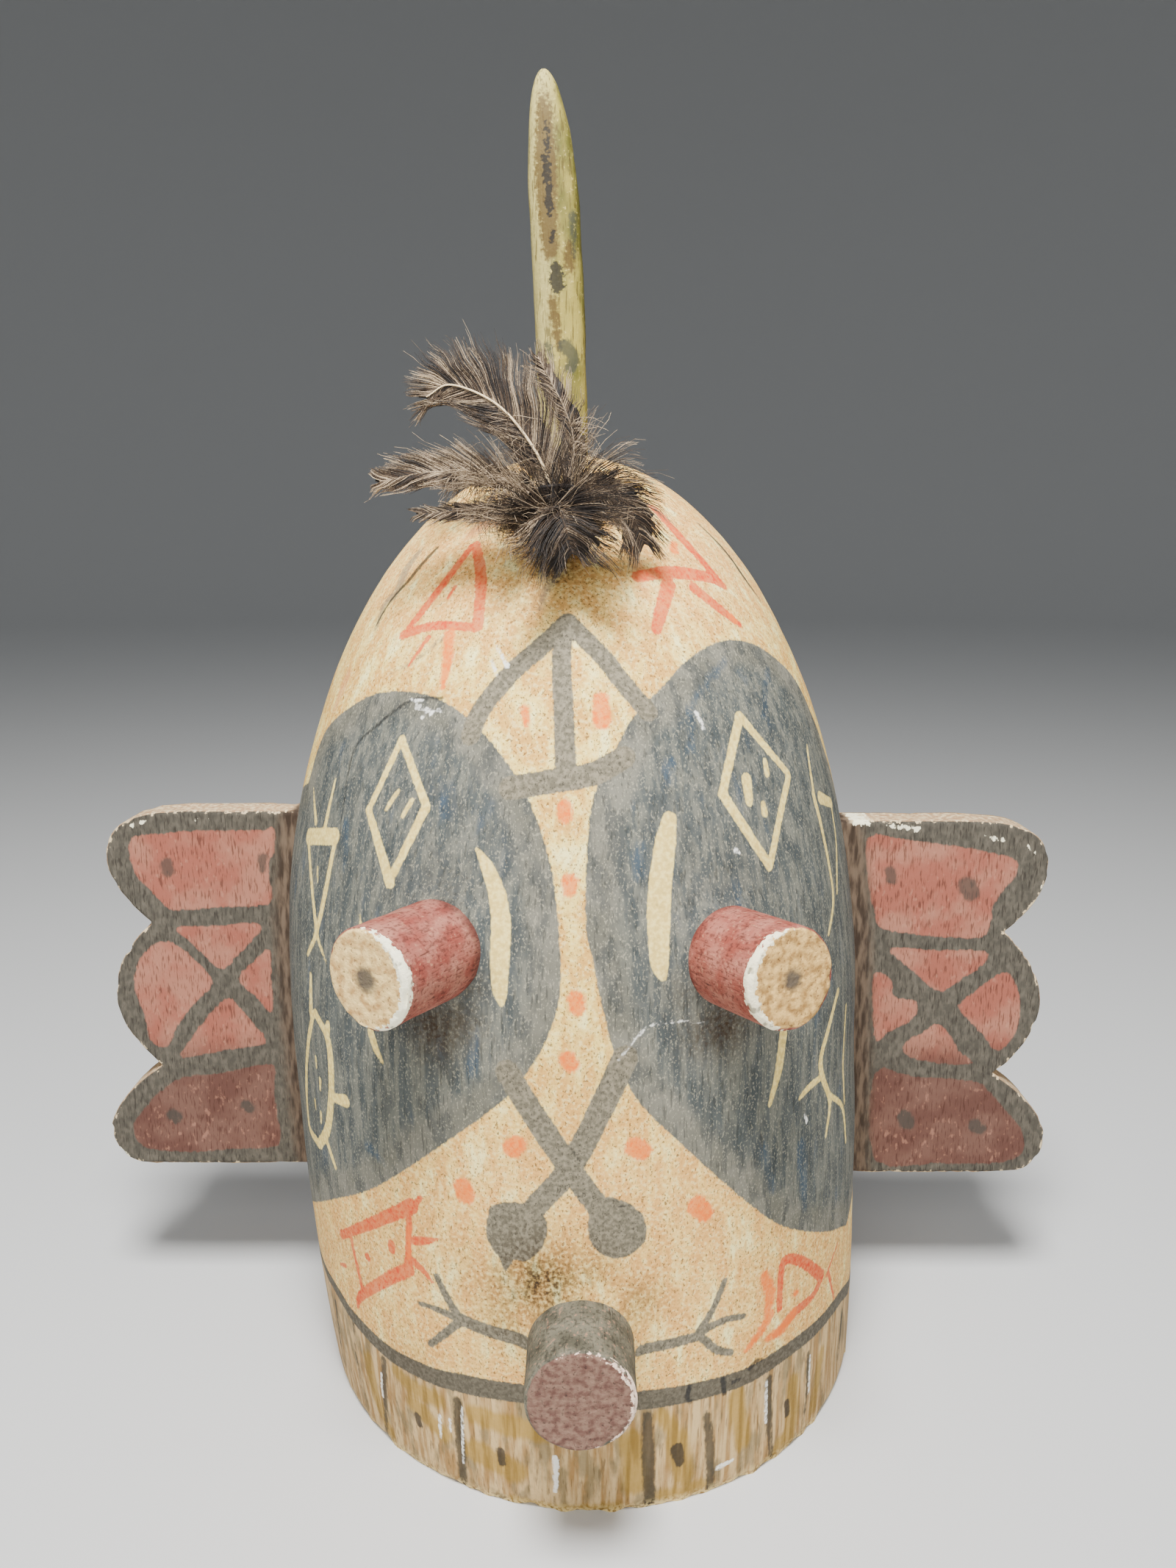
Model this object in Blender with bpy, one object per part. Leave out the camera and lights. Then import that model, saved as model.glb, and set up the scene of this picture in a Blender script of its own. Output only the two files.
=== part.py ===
# A painted wooden kachina mask: a hollowed log shell with a domed top, two scalloped
# ear boards, three round pegs, a horn stick and a tuft of six feathers.
# Metres, +Z up. The face looks along -Y and the mask stands on its cut foot.

import math

import bmesh
import bpy
from mathutils import Matrix, Vector

# Gap left between two pieces that seat on each other
clearance = 0.0003

# The carved shell, with its lean measured from the foot's middle line
shell_height = 0.384
shell_half_width = 0.122
shell_front_depth = 0.134
skirt_depth = 0.026
wall = 0.020
belly_height = 0.110
foot_draw_in = 0.0045
dome_start = 0.160
lean_at_foot = 0.0062
lean_at_top = -0.0040
lean_height = 0.300

# The ear boards, their lobes and notches measured outwards from the shell's side
ear_thickness = 0.017
ear_seat = 0.006
ear_top = 0.235
ear_foot = 0.067
ear_upper_notch_height = 0.184
ear_lower_notch_height = 0.116
ear_notch_reach = 0.0675
ear_top_edge_reach = 0.050
ear_top_lobe_reach = 0.085
ear_middle_lobe_reach = 0.086
ear_low_lobe_reach = 0.093
ear_foot_edge_reach = 0.074
ear_edge_round = 0.0015
right_ear_drop = 0.0045

# The eye pegs, each placed by its turn around the shell and its height
eye_peg_radius = 0.0175
eye_peg_seat = 0.008
left_eye_around = math.radians(-21.7)
left_eye_height = 0.215
left_eye_turn = math.radians(-34.6)
left_eye_tilt = math.radians(-1.0)
left_eye_length = 0.0333
right_eye_around = math.radians(27.8)
right_eye_height = 0.211
right_eye_turn = math.radians(30.0)
right_eye_tilt = math.radians(4.3)
right_eye_length = 0.0345

# The snout peg
snout_radius = 0.0190
snout_height = 0.0740
snout_length = 0.0299
snout_seat = 0.008
peg_rim_round = 0.0010

# The horn, which leans and tapers towards its tip
horn_length = 0.1445
horn_half_width = 0.0103
horn_half_depth = 0.0085
horn_seat = 0.012
horn_offset = -0.0020
horn_set_back = 0.003
horn_lean = -0.0068
horn_taper_start = 0.090
horn_tip_flat = 0.0004

# The feathers, whose quills stand in one drilled hole in the dome's front
feather_hole_below_top = 0.034
feather_hole_offset = -0.003
feather_hole_radius = 0.0045
feather_hole_depth = 0.014
quill_radius = 0.0009
quill_ring_radius = 0.0028
vane_half_thickness = 0.0011

# How finely round shapes are stepped
shell_arc_steps = 36
hollow_arc_steps = 26
dome_steps = 14
straight_steps = 5
last_dome_turn = math.radians(86.0)
lobe_steps = 8
peg_steps = 36
horn_steps = 20
feather_sides = 8


def clear_scene():
    for old in list(bpy.data.objects):
        bpy.data.objects.remove(old)


def finish(name, colour, roughness):
    material = bpy.data.materials.new(name)
    material.use_nodes = True
    shader = material.node_tree.nodes["Principled BSDF"]
    shader.inputs["Base Color"].default_value = (*colour, 1.0)
    shader.inputs["Roughness"].default_value = roughness
    shader.inputs["Metallic"].default_value = 0.0
    return material


def half_width(height, inset=0.0):
    across = shell_half_width - inset
    if height < belly_height:
        return across - foot_draw_in * ((belly_height - height) / belly_height) ** 2
    if height < dome_start:
        return across
    rise = (height - dome_start) / (shell_height - inset - dome_start)
    return across * math.sqrt(max(0.0, 1.0 - rise * rise))


def front_reach(height, inset=0.0):
    depth_share = (shell_front_depth - inset) / (shell_half_width - inset)
    return half_width(height, inset) * depth_share


def middle_line(height):
    if height > lean_height:
        return lean_at_top
    return lean_at_top + (lean_at_foot - lean_at_top) * (1.0 - height / lean_height) ** 2


def surface_point(around, height):
    across = middle_line(height) + half_width(height) * math.sin(around)
    return Vector((across, -front_reach(height) * math.cos(around), height))


def dome_normal(point):
    across = (point.x - middle_line(point.z)) / shell_half_width ** 2
    forward = point.y / shell_front_depth ** 2
    upward = (point.z - dome_start) / (shell_height - dome_start) ** 2
    return Vector((across, forward, upward)).normalized()


def link(name, mesh_data, material, centre):
    body = bpy.data.objects.new(name, mesh_data)
    bpy.context.collection.objects.link(body)
    body.parent = centre
    if material is None:
        body.hide_render = True
        body.display_type = "WIRE"
    else:
        mesh_data.materials.append(material)
        mesh_data.shade_smooth()
        mesh_data.set_sharp_from_angle(angle=math.radians(32.0))
    return body


def to_mesh(name, shape):
    bmesh.ops.recalc_face_normals(shape, faces=shape.faces[:])
    mesh_data = bpy.data.meshes.new(name)
    shape.to_mesh(mesh_data)
    shape.free()
    return mesh_data


def loft(name, rings):
    shape = bmesh.new()
    loops = [[shape.verts.new(point) for point in ring] for ring in rings]
    for lower, upper in zip(loops, loops[1:]):
        for k in range(len(lower)):
            after = (k + 1) % len(lower)
            shape.faces.new((lower[k], lower[after], upper[after], upper[k]))
    shape.faces.new(loops[0])
    shape.faces.new(loops[-1])
    return to_mesh(name, shape)


def shell_rings(inset, foot, back, arc_steps):
    top = shell_height - inset
    heights = [foot + (dome_start - foot) * k / straight_steps for k in range(straight_steps)]
    for k in range(dome_steps + 1):
        heights.append(dome_start + (top - dome_start) * math.sin(last_dome_turn * k / dome_steps))
    rings = []
    for height in heights:
        middle = middle_line(height)
        across = half_width(height, inset)
        reach = front_reach(height, inset)
        ring = []
        for k in range(arc_steps + 1):
            turn = math.pi * (k / arc_steps - 0.5)
            ring.append((middle + across * math.sin(turn), -reach * math.cos(turn), height))
        ring.append((middle + across, back, height))
        ring.append((middle - across, back, height))
        rings.append(ring)
    return rings


def cut(body, cutter):
    modifier = body.modifiers.new(cutter.name, "BOOLEAN")
    modifier.operation = "DIFFERENCE"
    modifier.solver = "EXACT"
    modifier.object = cutter


def bend(start, corner, end):
    # A quadratic curve that leaves start towards the corner and arrives from it
    points = []
    for k in range(lobe_steps + 1):
        t = k / lobe_steps
        points.append(start * (1 - t) ** 2 + corner * 2 * t * (1 - t) + end * t ** 2)
    return points


def ear_outline(drop):
    # Outer edge from the top to the foot, as (reach past the shell's side, height)
    top_rise = ear_top - ear_upper_notch_height
    low_rise = ear_lower_notch_height - ear_foot
    middle_height = (ear_upper_notch_height + ear_lower_notch_height) / 2.0
    middle_corner = 2.0 * ear_middle_lobe_reach - ear_notch_reach
    top_tip_height = ear_upper_notch_height + 0.59 * top_rise
    low_tip_height = ear_foot + 0.41 * low_rise
    upper_notch = Vector((ear_notch_reach, ear_upper_notch_height))
    lower_notch = Vector((ear_notch_reach, ear_lower_notch_height))
    top_tip = Vector((ear_top_lobe_reach, top_tip_height))
    low_tip = Vector((ear_low_lobe_reach, low_tip_height))
    outline = bend(Vector((ear_top_edge_reach, ear_top)),
                   Vector((ear_top_lobe_reach, ear_top)), top_tip)
    outline += bend(top_tip, Vector((ear_top_lobe_reach, ear_upper_notch_height
                                     + 0.30 * top_rise)), upper_notch)[1:]
    outline += bend(upper_notch, Vector((middle_corner, middle_height)), lower_notch)[1:]
    outline += bend(lower_notch, Vector((ear_low_lobe_reach - 0.1 * low_rise, ear_foot
                                         + 0.73 * low_rise)), low_tip)[1:]
    outline += bend(low_tip, Vector((ear_low_lobe_reach, ear_foot)),
                    Vector((ear_foot_edge_reach, ear_foot)))[1:]
    return [Vector((point.x, point.y - drop)) for point in outline]


def root_edge(side, foot, top, seat):
    # The board's hidden edge, which follows the shell's side from foot to top
    steps = 8
    heights = [foot + (top - foot) * k / steps for k in range(steps + 1)]
    return [Vector((middle_line(h) + side * (half_width(h) - seat), h)) for h in heights]


def board(name, outline, front, back, edge_round):
    shape = bmesh.new()
    face = shape.faces.new([shape.verts.new((p.x, front, p.y)) for p in outline])
    grown = bmesh.ops.extrude_face_region(shape, geom=[face])
    moved = [item for item in grown["geom"] if isinstance(item, bmesh.types.BMVert)]
    bmesh.ops.translate(shape, verts=moved, vec=(0.0, back - front, 0.0))
    if edge_round > 0.0:
        rims = [edge for edge in shape.edges
                if abs(edge.verts[0].co.y - edge.verts[1].co.y) < edge_round]
        bmesh.ops.bevel(shape, geom=rims, offset=edge_round, segments=2, profile=0.5,
                        affect="EDGES")
    return to_mesh(name, shape)


def make_ear(name, side, drop, material, shell, centre):
    foot, top = ear_foot - drop, ear_top - drop
    rim = [Vector((side * (shell_half_width + p.x), p.y)) for p in ear_outline(drop)]
    outline = rim + root_edge(side, foot, top, ear_seat)
    link(name, board(name, outline, 0.0, ear_thickness, ear_edge_round), material, centre)

    past_side = side * (shell_half_width + ear_notch_reach)
    low, high = foot - clearance, top + clearance
    groove = [Vector((past_side, high)), Vector((past_side, low))]
    groove += root_edge(side, low, high, ear_seat + clearance)
    cutter_name = name + "_groove"
    groove_mesh = board(cutter_name, groove, -clearance, ear_thickness + clearance, 0.0)
    cut(shell, link(cutter_name, groove_mesh, None, centre))


def round_bar(name, radius, length, rim_round):
    # Stands on the origin along +Z, with its upper rim eased
    shape = bmesh.new()
    bmesh.ops.create_cone(shape, cap_ends=True, segments=peg_steps, radius1=radius,
                          radius2=radius, depth=length,
                          matrix=Matrix.Translation((0.0, 0.0, length / 2.0)))
    if rim_round > 0.0:
        rim = [edge for edge in shape.edges
               if min(edge.verts[0].co.z, edge.verts[1].co.z) > length / 2.0]
        bmesh.ops.bevel(shape, geom=rim, offset=rim_round, segments=2, profile=0.5,
                        affect="EDGES")
    return to_mesh(name, shape)


def make_peg(name, radius, seat, length, base, direction, material, shell, centre):
    turned = direction.to_track_quat("Z", "Y").to_euler()
    peg = link(name, round_bar(name, radius, seat + length, peg_rim_round), material, centre)
    peg.location = base - direction * seat
    peg.rotation_euler = turned
    socket_name = name + "_socket"
    socket_mesh = round_bar(socket_name, radius + clearance, seat + length, 0.0)
    socket = link(socket_name, socket_mesh, None, centre)
    socket.location = base - direction * (seat + clearance)
    socket.rotation_euler = turned
    cut(shell, socket)


def heading(turn, tilt):
    return Vector((math.sin(turn) * math.cos(tilt), -math.cos(turn) * math.cos(tilt),
                   math.sin(tilt)))


def horn_ring(rise, grow):
    # One rounded-square section of the horn, rise metres above the shell's top
    share = max(0.0, rise) / horn_length
    taper_share = max(0.0, rise - horn_taper_start) / (horn_length - horn_taper_start)
    size = math.sqrt(max(0.0, 1.0 - taper_share ** 2))
    across = max(horn_tip_flat, horn_half_width * size) + grow
    deep = max(horn_tip_flat, horn_half_depth * size) + grow
    middle = lean_at_top + horn_offset + horn_lean * share ** 2
    ring = []
    for k in range(horn_steps):
        turn = 2.0 * math.pi * k / horn_steps
        square = (abs(math.cos(turn)) ** 2.7 + abs(math.sin(turn)) ** 2.7) ** (-1.0 / 2.7)
        ring.append((middle + across * square * math.cos(turn),
                     horn_set_back + deep * square * math.sin(turn), shell_height + rise))
    return ring


def make_horn(material, shell, centre):
    rises = [-horn_seat, 0.0]
    rises += [horn_taper_start * k / 4 for k in range(1, 5)]
    tip_run = horn_length - horn_taper_start
    rises += [horn_taper_start + tip_run * math.sin(math.pi / 2 * k / 8) for k in range(1, 9)]
    link("horn", loft("horn", [horn_ring(rise, 0.0) for rise in rises]), material, centre)
    socket_rises = [-horn_seat - clearance, horn_seat]
    socket_mesh = loft("horn_socket", [horn_ring(rise, clearance) for rise in socket_rises])
    cut(shell, link("horn_socket", socket_mesh, None, centre))


def smooth_path(points, steps):
    # A Catmull-Rom curve through the points, with equal steps in each span
    padded = [points[0] * 2 - points[1]] + points + [points[-1] * 2 - points[-2]]
    path = []
    for a, b, c, d in zip(padded, padded[1:], padded[2:], padded[3:]):
        for k in range(steps):
            t = k / steps
            path.append((b * 2 + (c - a) * t + (a * 2 - b * 5 + c * 4 - d) * t * t
                         + (b * 3 - a - c * 3 + d) * t ** 3) / 2)
    path.append(points[-1])
    return path


def feather_rings(path, vane_start, fullest, vane_half, face):
    # Round sections along the quill, then flat lens sections that open into the vane
    lengths = [0.0]
    for before, after in zip(path, path[1:]):
        lengths.append(lengths[-1] + (after - before).length)
    peak = math.log(0.5) / math.log(fullest)
    rings = []
    for k, point in enumerate(path):
        share = lengths[k] / lengths[-1]
        along = path[min(k + 1, len(path) - 1)] - path[max(k - 1, 0)]
        sideways = along.cross(face).normalized()
        outward = sideways.cross(along).normalized()
        wide, thick = quill_radius, quill_radius
        if share > vane_start:
            run = min(0.985, (share - vane_start) / (1.0 - vane_start))
            swell = math.sin(math.pi * run ** peak) ** 0.75
            wide += (vane_half - quill_radius) * swell
            thick = quill_radius + (vane_half_thickness - quill_radius) * swell
        ring = []
        for n in range(feather_sides):
            turn = 2.0 * math.pi * n / feather_sides
            ring.append(point + sideways * wide * math.cos(turn)
                        + outward * thick * math.sin(turn))
        rings.append(ring)
    return rings


# Each feather: its quill's turn in the hole, points from the hole's mouth, the share of
# its length that is bare quill, where its vane is fullest, half width and facing
feathers = {
    "back_left_feather": (90, [(-0.002, -0.004, 0.018), (-0.008, -0.004, 0.032),
                               (-0.020, -0.001, 0.046), (-0.036, 0.002, 0.053),
                               (-0.045, 0.002, 0.049)],
                          0.36, 0.50, 0.0165, (0.0, -1.0, 0.0)),
    "back_feather": (30, [(0.005, 0.003, 0.018), (0.005, 0.011, 0.040),
                          (-0.007, 0.016, 0.065)],
                     0.35, 0.45, 0.0065, (0.3, -1.0, 0.0)),
    "left_feather": (150, [(-0.009, -0.010, 0.015), (-0.022, -0.012, 0.021),
                           (-0.042, -0.009, 0.023), (-0.061, -0.005, 0.020)],
                     0.25, 0.40, 0.0090, (0.0, -1.0, 0.3)),
    "low_left_feather": (210, [(-0.010, -0.014, 0.009), (-0.026, -0.016, 0.010),
                               (-0.047, -0.011, 0.009)],
                         0.25, 0.45, 0.0045, (0.0, -1.0, 0.3)),
    "right_feather": (330, [(0.005, -0.010, 0.016), (0.014, -0.012, 0.021),
                            (0.026, -0.008, 0.017), (0.034, -0.002, 0.004)],
                      0.28, 0.45, 0.0075, (0.0, -1.0, 0.2)),
    "front_feather": (270, [(0.000, -0.018, 0.008), (0.002, -0.028, 0.006),
                            (0.004, -0.032, -0.004), (0.006, -0.030, -0.013)],
                      0.52, 0.50, 0.0160, (0.0, -1.0, 0.4)),
}


def make_feathers(material, shell, centre):
    height = shell_height - feather_hole_below_top
    mouth = surface_point(0.0, height) + Vector((feather_hole_offset, 0.0, 0.0))
    outward = dome_normal(mouth)
    upward = Vector((1.0, 0.0, 0.0)).cross(outward)
    for name, (turn, offsets, vane_start, fullest, vane_half, face) in feathers.items():
        angle = math.radians(turn)
        beside = Vector((math.cos(angle), 0.0, 0.0)) - upward * math.sin(angle)
        foot = mouth + beside * quill_ring_radius
        points = [foot - outward * (feather_hole_depth - clearance), foot + outward * 0.003]
        points += [mouth + Vector(offset) for offset in offsets]
        path = smooth_path(points, 4)
        rings = feather_rings(path, vane_start, fullest, vane_half, Vector(face))
        link(name, loft(name, rings), material, centre)

    bore = round_bar("feather_hole", feather_hole_radius, feather_hole_depth * 2.0, 0.0)
    cutter = link("feather_hole", bore, None, centre)
    cutter.location = mouth - outward * feather_hole_depth
    cutter.rotation_euler = outward.to_track_quat("Z", "Y").to_euler()
    cut(shell, cutter)


def main():
    clear_scene()
    # Every piece hangs on one empty, which centres the whole depth on the origin
    centre = bpy.data.objects.new("mask_centre", None)
    bpy.context.collection.objects.link(centre)
    snout_face = front_reach(snout_height) + snout_length
    centre.location = (0.0, (snout_face - skirt_depth) / 2.0, 0.0)

    painted_wood = finish("painted_wood", (0.52, 0.40, 0.26), 0.85)
    ear_paint = finish("ear_paint", (0.31, 0.09, 0.085), 0.85)
    peg_paint = finish("peg_paint", (0.33, 0.11, 0.10), 0.80)
    snout_paint = finish("snout_paint", (0.17, 0.16, 0.12), 0.85)
    horn_paint = finish("horn_paint", (0.38, 0.34, 0.17), 0.75)
    feather_brown = finish("feather_brown", (0.075, 0.055, 0.045), 0.70)

    outer = shell_rings(0.0, 0.0, skirt_depth, shell_arc_steps)
    shell = link("mask_shell", loft("mask_shell", outer), painted_wood, centre)
    inner = shell_rings(wall, -wall, skirt_depth + wall, hollow_arc_steps)
    cut(shell, link("shell_hollow", loft("shell_hollow", inner), None, centre))

    make_ear("left_ear", -1.0, 0.0, ear_paint, shell, centre)
    make_ear("right_ear", 1.0, right_ear_drop, ear_paint, shell, centre)

    make_peg("left_eye_peg", eye_peg_radius, eye_peg_seat, left_eye_length,
             surface_point(left_eye_around, left_eye_height),
             heading(left_eye_turn, left_eye_tilt), peg_paint, shell, centre)
    make_peg("right_eye_peg", eye_peg_radius, eye_peg_seat, right_eye_length,
             surface_point(right_eye_around, right_eye_height),
             heading(right_eye_turn, right_eye_tilt), peg_paint, shell, centre)
    make_peg("snout_peg", snout_radius, snout_seat, snout_length,
             surface_point(0.0, snout_height), heading(0.0, 0.0), snout_paint, shell, centre)

    make_horn(horn_paint, shell, centre)
    make_feathers(feather_brown, shell, centre)


main()
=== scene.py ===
import math
import random

import bmesh
import bpy
import numpy as np
from mathutils import Matrix, Vector, noise


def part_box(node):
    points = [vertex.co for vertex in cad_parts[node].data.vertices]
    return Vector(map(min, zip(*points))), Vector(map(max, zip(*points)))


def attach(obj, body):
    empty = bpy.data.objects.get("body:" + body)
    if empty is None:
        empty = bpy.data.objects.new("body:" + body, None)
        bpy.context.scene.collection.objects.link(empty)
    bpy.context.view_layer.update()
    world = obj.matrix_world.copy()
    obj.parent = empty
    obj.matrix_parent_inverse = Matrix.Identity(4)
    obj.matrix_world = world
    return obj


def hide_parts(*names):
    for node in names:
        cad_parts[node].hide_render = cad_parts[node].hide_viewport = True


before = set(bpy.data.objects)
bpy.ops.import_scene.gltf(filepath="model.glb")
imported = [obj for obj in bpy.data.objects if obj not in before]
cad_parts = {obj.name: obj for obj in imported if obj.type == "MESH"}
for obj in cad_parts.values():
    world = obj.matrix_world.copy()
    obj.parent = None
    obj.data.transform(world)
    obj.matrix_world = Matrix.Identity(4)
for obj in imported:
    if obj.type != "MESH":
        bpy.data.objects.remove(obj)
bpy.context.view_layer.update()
print("frame loaded:", len(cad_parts), "nodes")

mm = 0.001
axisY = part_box("left_ear")[0][1]  # the plane of the ears' faces, where the shell is widest
farAway = 0.05  # metres, the distance given where no stroke is near
dice = random.Random(11)
noise.seed_set(11)  # without it the bends of the feathers' strands differ from run to run

# How the shell is carved, the same sizes as its solid
shellForm = {
    "height": 0.384, "halfWidth": 0.122, "frontDepth": 0.134, "skirt": 0.026, "wall": 0.020,
    "bellyHeight": 0.110, "footDrawIn": 0.0045, "domeStart": 0.160, "domeRun": 0.28,
    "leanFoot": 0.0062, "leanTop": -0.0040, "leanHeight": 0.300,
}

# The camera stands close to the mask and looks a little down on it
cameraPlace = {"x": 0.0043, "ahead": 0.4995, "up": 0.3506, "pitch": 11.73, "lens": 27.09}
photoFrame = {"middleX": 800.0, "middleY": 1066.5, "longSide": 2133.0, "sensor": 36.0}


def paint(red, green, blue):
    # a colour as it looks on screen, in the shader's own linear values
    return tuple(((c / 255 + 0.055) / 1.055) ** 2.4 for c in (red, green, blue)) + (1.0,)


def cameraAxes():
    pitch = math.radians(cameraPlace["pitch"])
    eye = np.array([cameraPlace["x"], axisY - cameraPlace["ahead"], cameraPlace["up"]])
    forward = np.array([0.0, math.cos(pitch), -math.sin(pitch)])
    upward = np.array([0.0, math.sin(pitch), math.cos(pitch)])
    return eye, forward, np.array([1.0, 0.0, 0.0]), upward


def sight(pixels):
    # lines of sight through pixels of the 1600 by 2133 photograph
    eye, forward, sideways, upward = cameraAxes()
    focal = cameraPlace["lens"] / photoFrame["sensor"] * photoFrame["longSide"]
    px = np.asarray(pixels, float)
    right = ((px[:, 0] - photoFrame["middleX"]) / focal)[:, None]
    down = ((px[:, 1] - photoFrame["middleY"]) / focal)[:, None]
    return eye, forward + right * sideways - down * upward


# Shell form as functions of the height, for arrays of heights

def halfWidthAt(z):
    form = shellForm
    below = np.clip((form["bellyHeight"] - z) / form["bellyHeight"], 0.0, None)
    rise = np.clip((z - form["domeStart"]) / (form["height"] - form["domeStart"]), 0.0, 1.0)
    return (form["halfWidth"] - form["footDrawIn"] * below ** 2) * np.sqrt(1.0 - rise ** 2)


def middleAt(z):
    form = shellForm
    lower = np.clip(1.0 - z / form["leanHeight"], 0.0, None)
    return form["leanTop"] + (form["leanFoot"] - form["leanTop"]) * lower ** 2


def depthOf(across):
    return across * shellForm["frontDepth"] / shellForm["halfWidth"]


def formShares(points):
    # places aside and ahead of the middle, as shares of the form at their height
    across = halfWidthAt(points[:, 2]) + 1e-6
    aside = (points[:, 0] - middleAt(points[:, 2])) / across
    return aside, (axisY - points[:, 1]) / depthOf(across)


def shellHeld(points):
    # below 1 inside the front of the shell, above 1 outside
    aside, ahead = formShares(points)
    return np.where(points[:, 2] > shellForm["height"], 9.0, aside ** 2 + ahead ** 2)


def onShell(pixels):
    # where lines of sight first meet the carved front; those that miss slide to its rim
    eye, rays = sight(pixels)
    near, far = 0.30, 0.55
    reach = np.linspace(near, far, 240)
    held = np.array([shellHeld(eye + rays * t) for t in reach])
    hits = held < 1.0
    first = np.where(hits.any(axis=0), hits.argmax(axis=0), held.argmin(axis=0))
    high = reach[first]
    low = reach[np.maximum(first - 1, 0)]
    for _ in range(24):
        middle = (low + high) / 2
        inside = shellHeld(eye + rays * middle[:, None]) < 1.0
        high = np.where(inside, middle, high)
        low = np.where(inside, low, middle)
    return eye + rays * high[:, None]


def onPlane(pixels, y):
    eye, rays = sight(pixels)
    return eye + rays * ((y - eye[1]) / rays[:, 1])[:, None]


def curveThrough(points, steps, closed=False):
    # a smooth curve through the read points
    pts = [np.asarray(p, float) for p in points]
    if closed:
        around = [pts[-1]] + pts + [pts[0], pts[1]]
    else:
        around = [2 * pts[0] - pts[1]] + pts + [2 * pts[-1] - pts[-2]]
    path = []
    for a, b, c, d in zip(around, around[1:], around[2:], around[3:]):
        for k in range(steps):
            t = k / steps
            path.append((2 * b + (c - a) * t + (2 * a - 5 * b + 4 * c - d) * t * t
                         + (3 * b - a - 3 * c + d) * t ** 3) / 2)
    if not closed:
        path.append(pts[-1])
    return np.array(path)


def girthOf(points):
    # turn around the shell and height, the flat picture of its front
    aside, ahead = formShares(points)
    return np.stack([np.arctan2(aside, ahead), points[:, 2]], axis=1)


def onForm(turns, heights):
    # points of the carved form from their turn around it and their height
    across = halfWidthAt(heights)
    return np.stack([middleAt(heights) + across * np.sin(turns),
                     axisY - depthOf(across) * np.cos(turns), heights], axis=-1)


def strokeDistance(points, path, halves):
    # distance from points to a path, less its half width there, in metres
    best = np.full(len(points), 1.0)
    halves = np.interp(np.linspace(0, 1, len(path)), np.linspace(0, 1, len(halves)), halves)
    margin = 0.02 + halves.max()
    low, high = path.min(axis=0) - margin, path.max(axis=0) + margin
    near = np.where(((points > low) & (points < high)).all(axis=1))[0]
    if len(near) == 0:
        return best
    close = points[near]
    found = np.full(len(near), 1.0)
    for a, b, ra, rb in zip(path, path[1:], halves, halves[1:]):
        run = b - a
        share = np.clip(((close - a) @ run) / max(run @ run, 1e-12), 0.0, 1.0)
        gap = np.linalg.norm(close - a - share[:, None] * run, axis=1) - ra - (rb - ra) * share
        found = np.minimum(found, gap)
    best[near] = found
    return best


def insideOutline(flat, outline):
    crossings = np.zeros(len(flat), int)
    for (xa, ya), (xb, yb) in zip(outline, np.roll(outline, -1, axis=0)):
        spans = (ya > flat[:, 1]) != (yb > flat[:, 1])
        level = (flat[:, 1] - ya) / (yb - ya + 1e-12)
        crossings += spans & (flat[:, 0] < xa + level * (xb - xa))
    return crossings % 2 == 1


def areaDistance(points, flat, outline3d, outlineFlat):
    gap = strokeDistance(points, np.vstack([outline3d, outline3d[:1]]), [0.0, 0.0])
    return np.where(insideOutline(flat, outlineFlat), -gap, gap)


# Figures painted on the shell. Points are pixels of the photograph, widths are millimetres.
eyePatches = {
    "left": {
        "edge": [(420, 1065), (432, 1022), (450, 985), (500, 948), (545, 940), (590, 948),
                 (637, 977), (675, 1018), (715, 1078), (745, 1160), (757, 1230), (763, 1323),
                 (757, 1376), (736, 1429), (700, 1482), (655, 1520), (590, 1565), (550, 1592),
                 (500, 1620), (440, 1634), (424, 1634)],
        "side": -1},
    "right": {
        "edge": [(1118, 1010), (1108, 982), (1082, 925), (1045, 888), (1010, 872), (975, 874),
                 (935, 898), (900, 935), (862, 975), (835, 1025), (809, 1080), (799, 1150),
                 (797, 1260), (805, 1300), (821, 1376), (838, 1438), (870, 1500), (920, 1550),
                 (975, 1600), (1020, 1638), (1065, 1668), (1120, 1676), (1152, 1667)],
        "side": 1},
}
footLine = ([(447, 1736), (462, 1762), (484, 1796), (526, 1838), (577, 1866), (619, 1880),
             (690, 1894), (780, 1902), (868, 1905), (948, 1893), (1016, 1872), (1075, 1834),
             (1117, 1800), (1154, 1750)], (2.6, 3.4, 4.2, 4.2, 3.6, 3.0))
greyStrokes = [
    ([(773, 846), (737, 879), (695, 916), (655, 965), (640, 1000)], (3.4, 3.6)),
    ([(775, 848), (795, 868), (820, 893), (855, 937), (882, 968)], (3.2, 3.4)),
    ([(768, 850), (764, 900), (767, 970), (770, 1050)], (3.2, 3.6)),
    ([(695, 1072), (750, 1063), (806, 1053), (850, 1030)], (4.1, 3.9)),
    ([(690, 1458), (728, 1520), (775, 1590), (806, 1632), (830, 1665)], (4.3, 4.2, 3.8)),
    ([(850, 1440), (815, 1515), (775, 1590), (738, 1632), (712, 1660)], (4.6, 4.2, 3.9)),
    ([(716, 1821), (672, 1812), (625, 1794)], (2.9, 2.6)),
    ([(625, 1792), (608, 1765), (594, 1736)], (1.9, 1.4)),
    ([(615, 1790), (592, 1780), (570, 1773)], (1.6, 0.9)),
    ([(625, 1798), (604, 1815), (586, 1828)], (1.9, 1.4)),
    ([(870, 1834), (910, 1828), (948, 1818)], (2.3, 2.0)),
    ([(950, 1814), (970, 1780), (986, 1742)], (1.7, 1.2)),
    ([(960, 1808), (985, 1796), (1012, 1790)], (1.7, 1.2)),
    ([(955, 1820), (975, 1836), (995, 1840)], (1.7, 1.4)),
    footLine,
]
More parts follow.
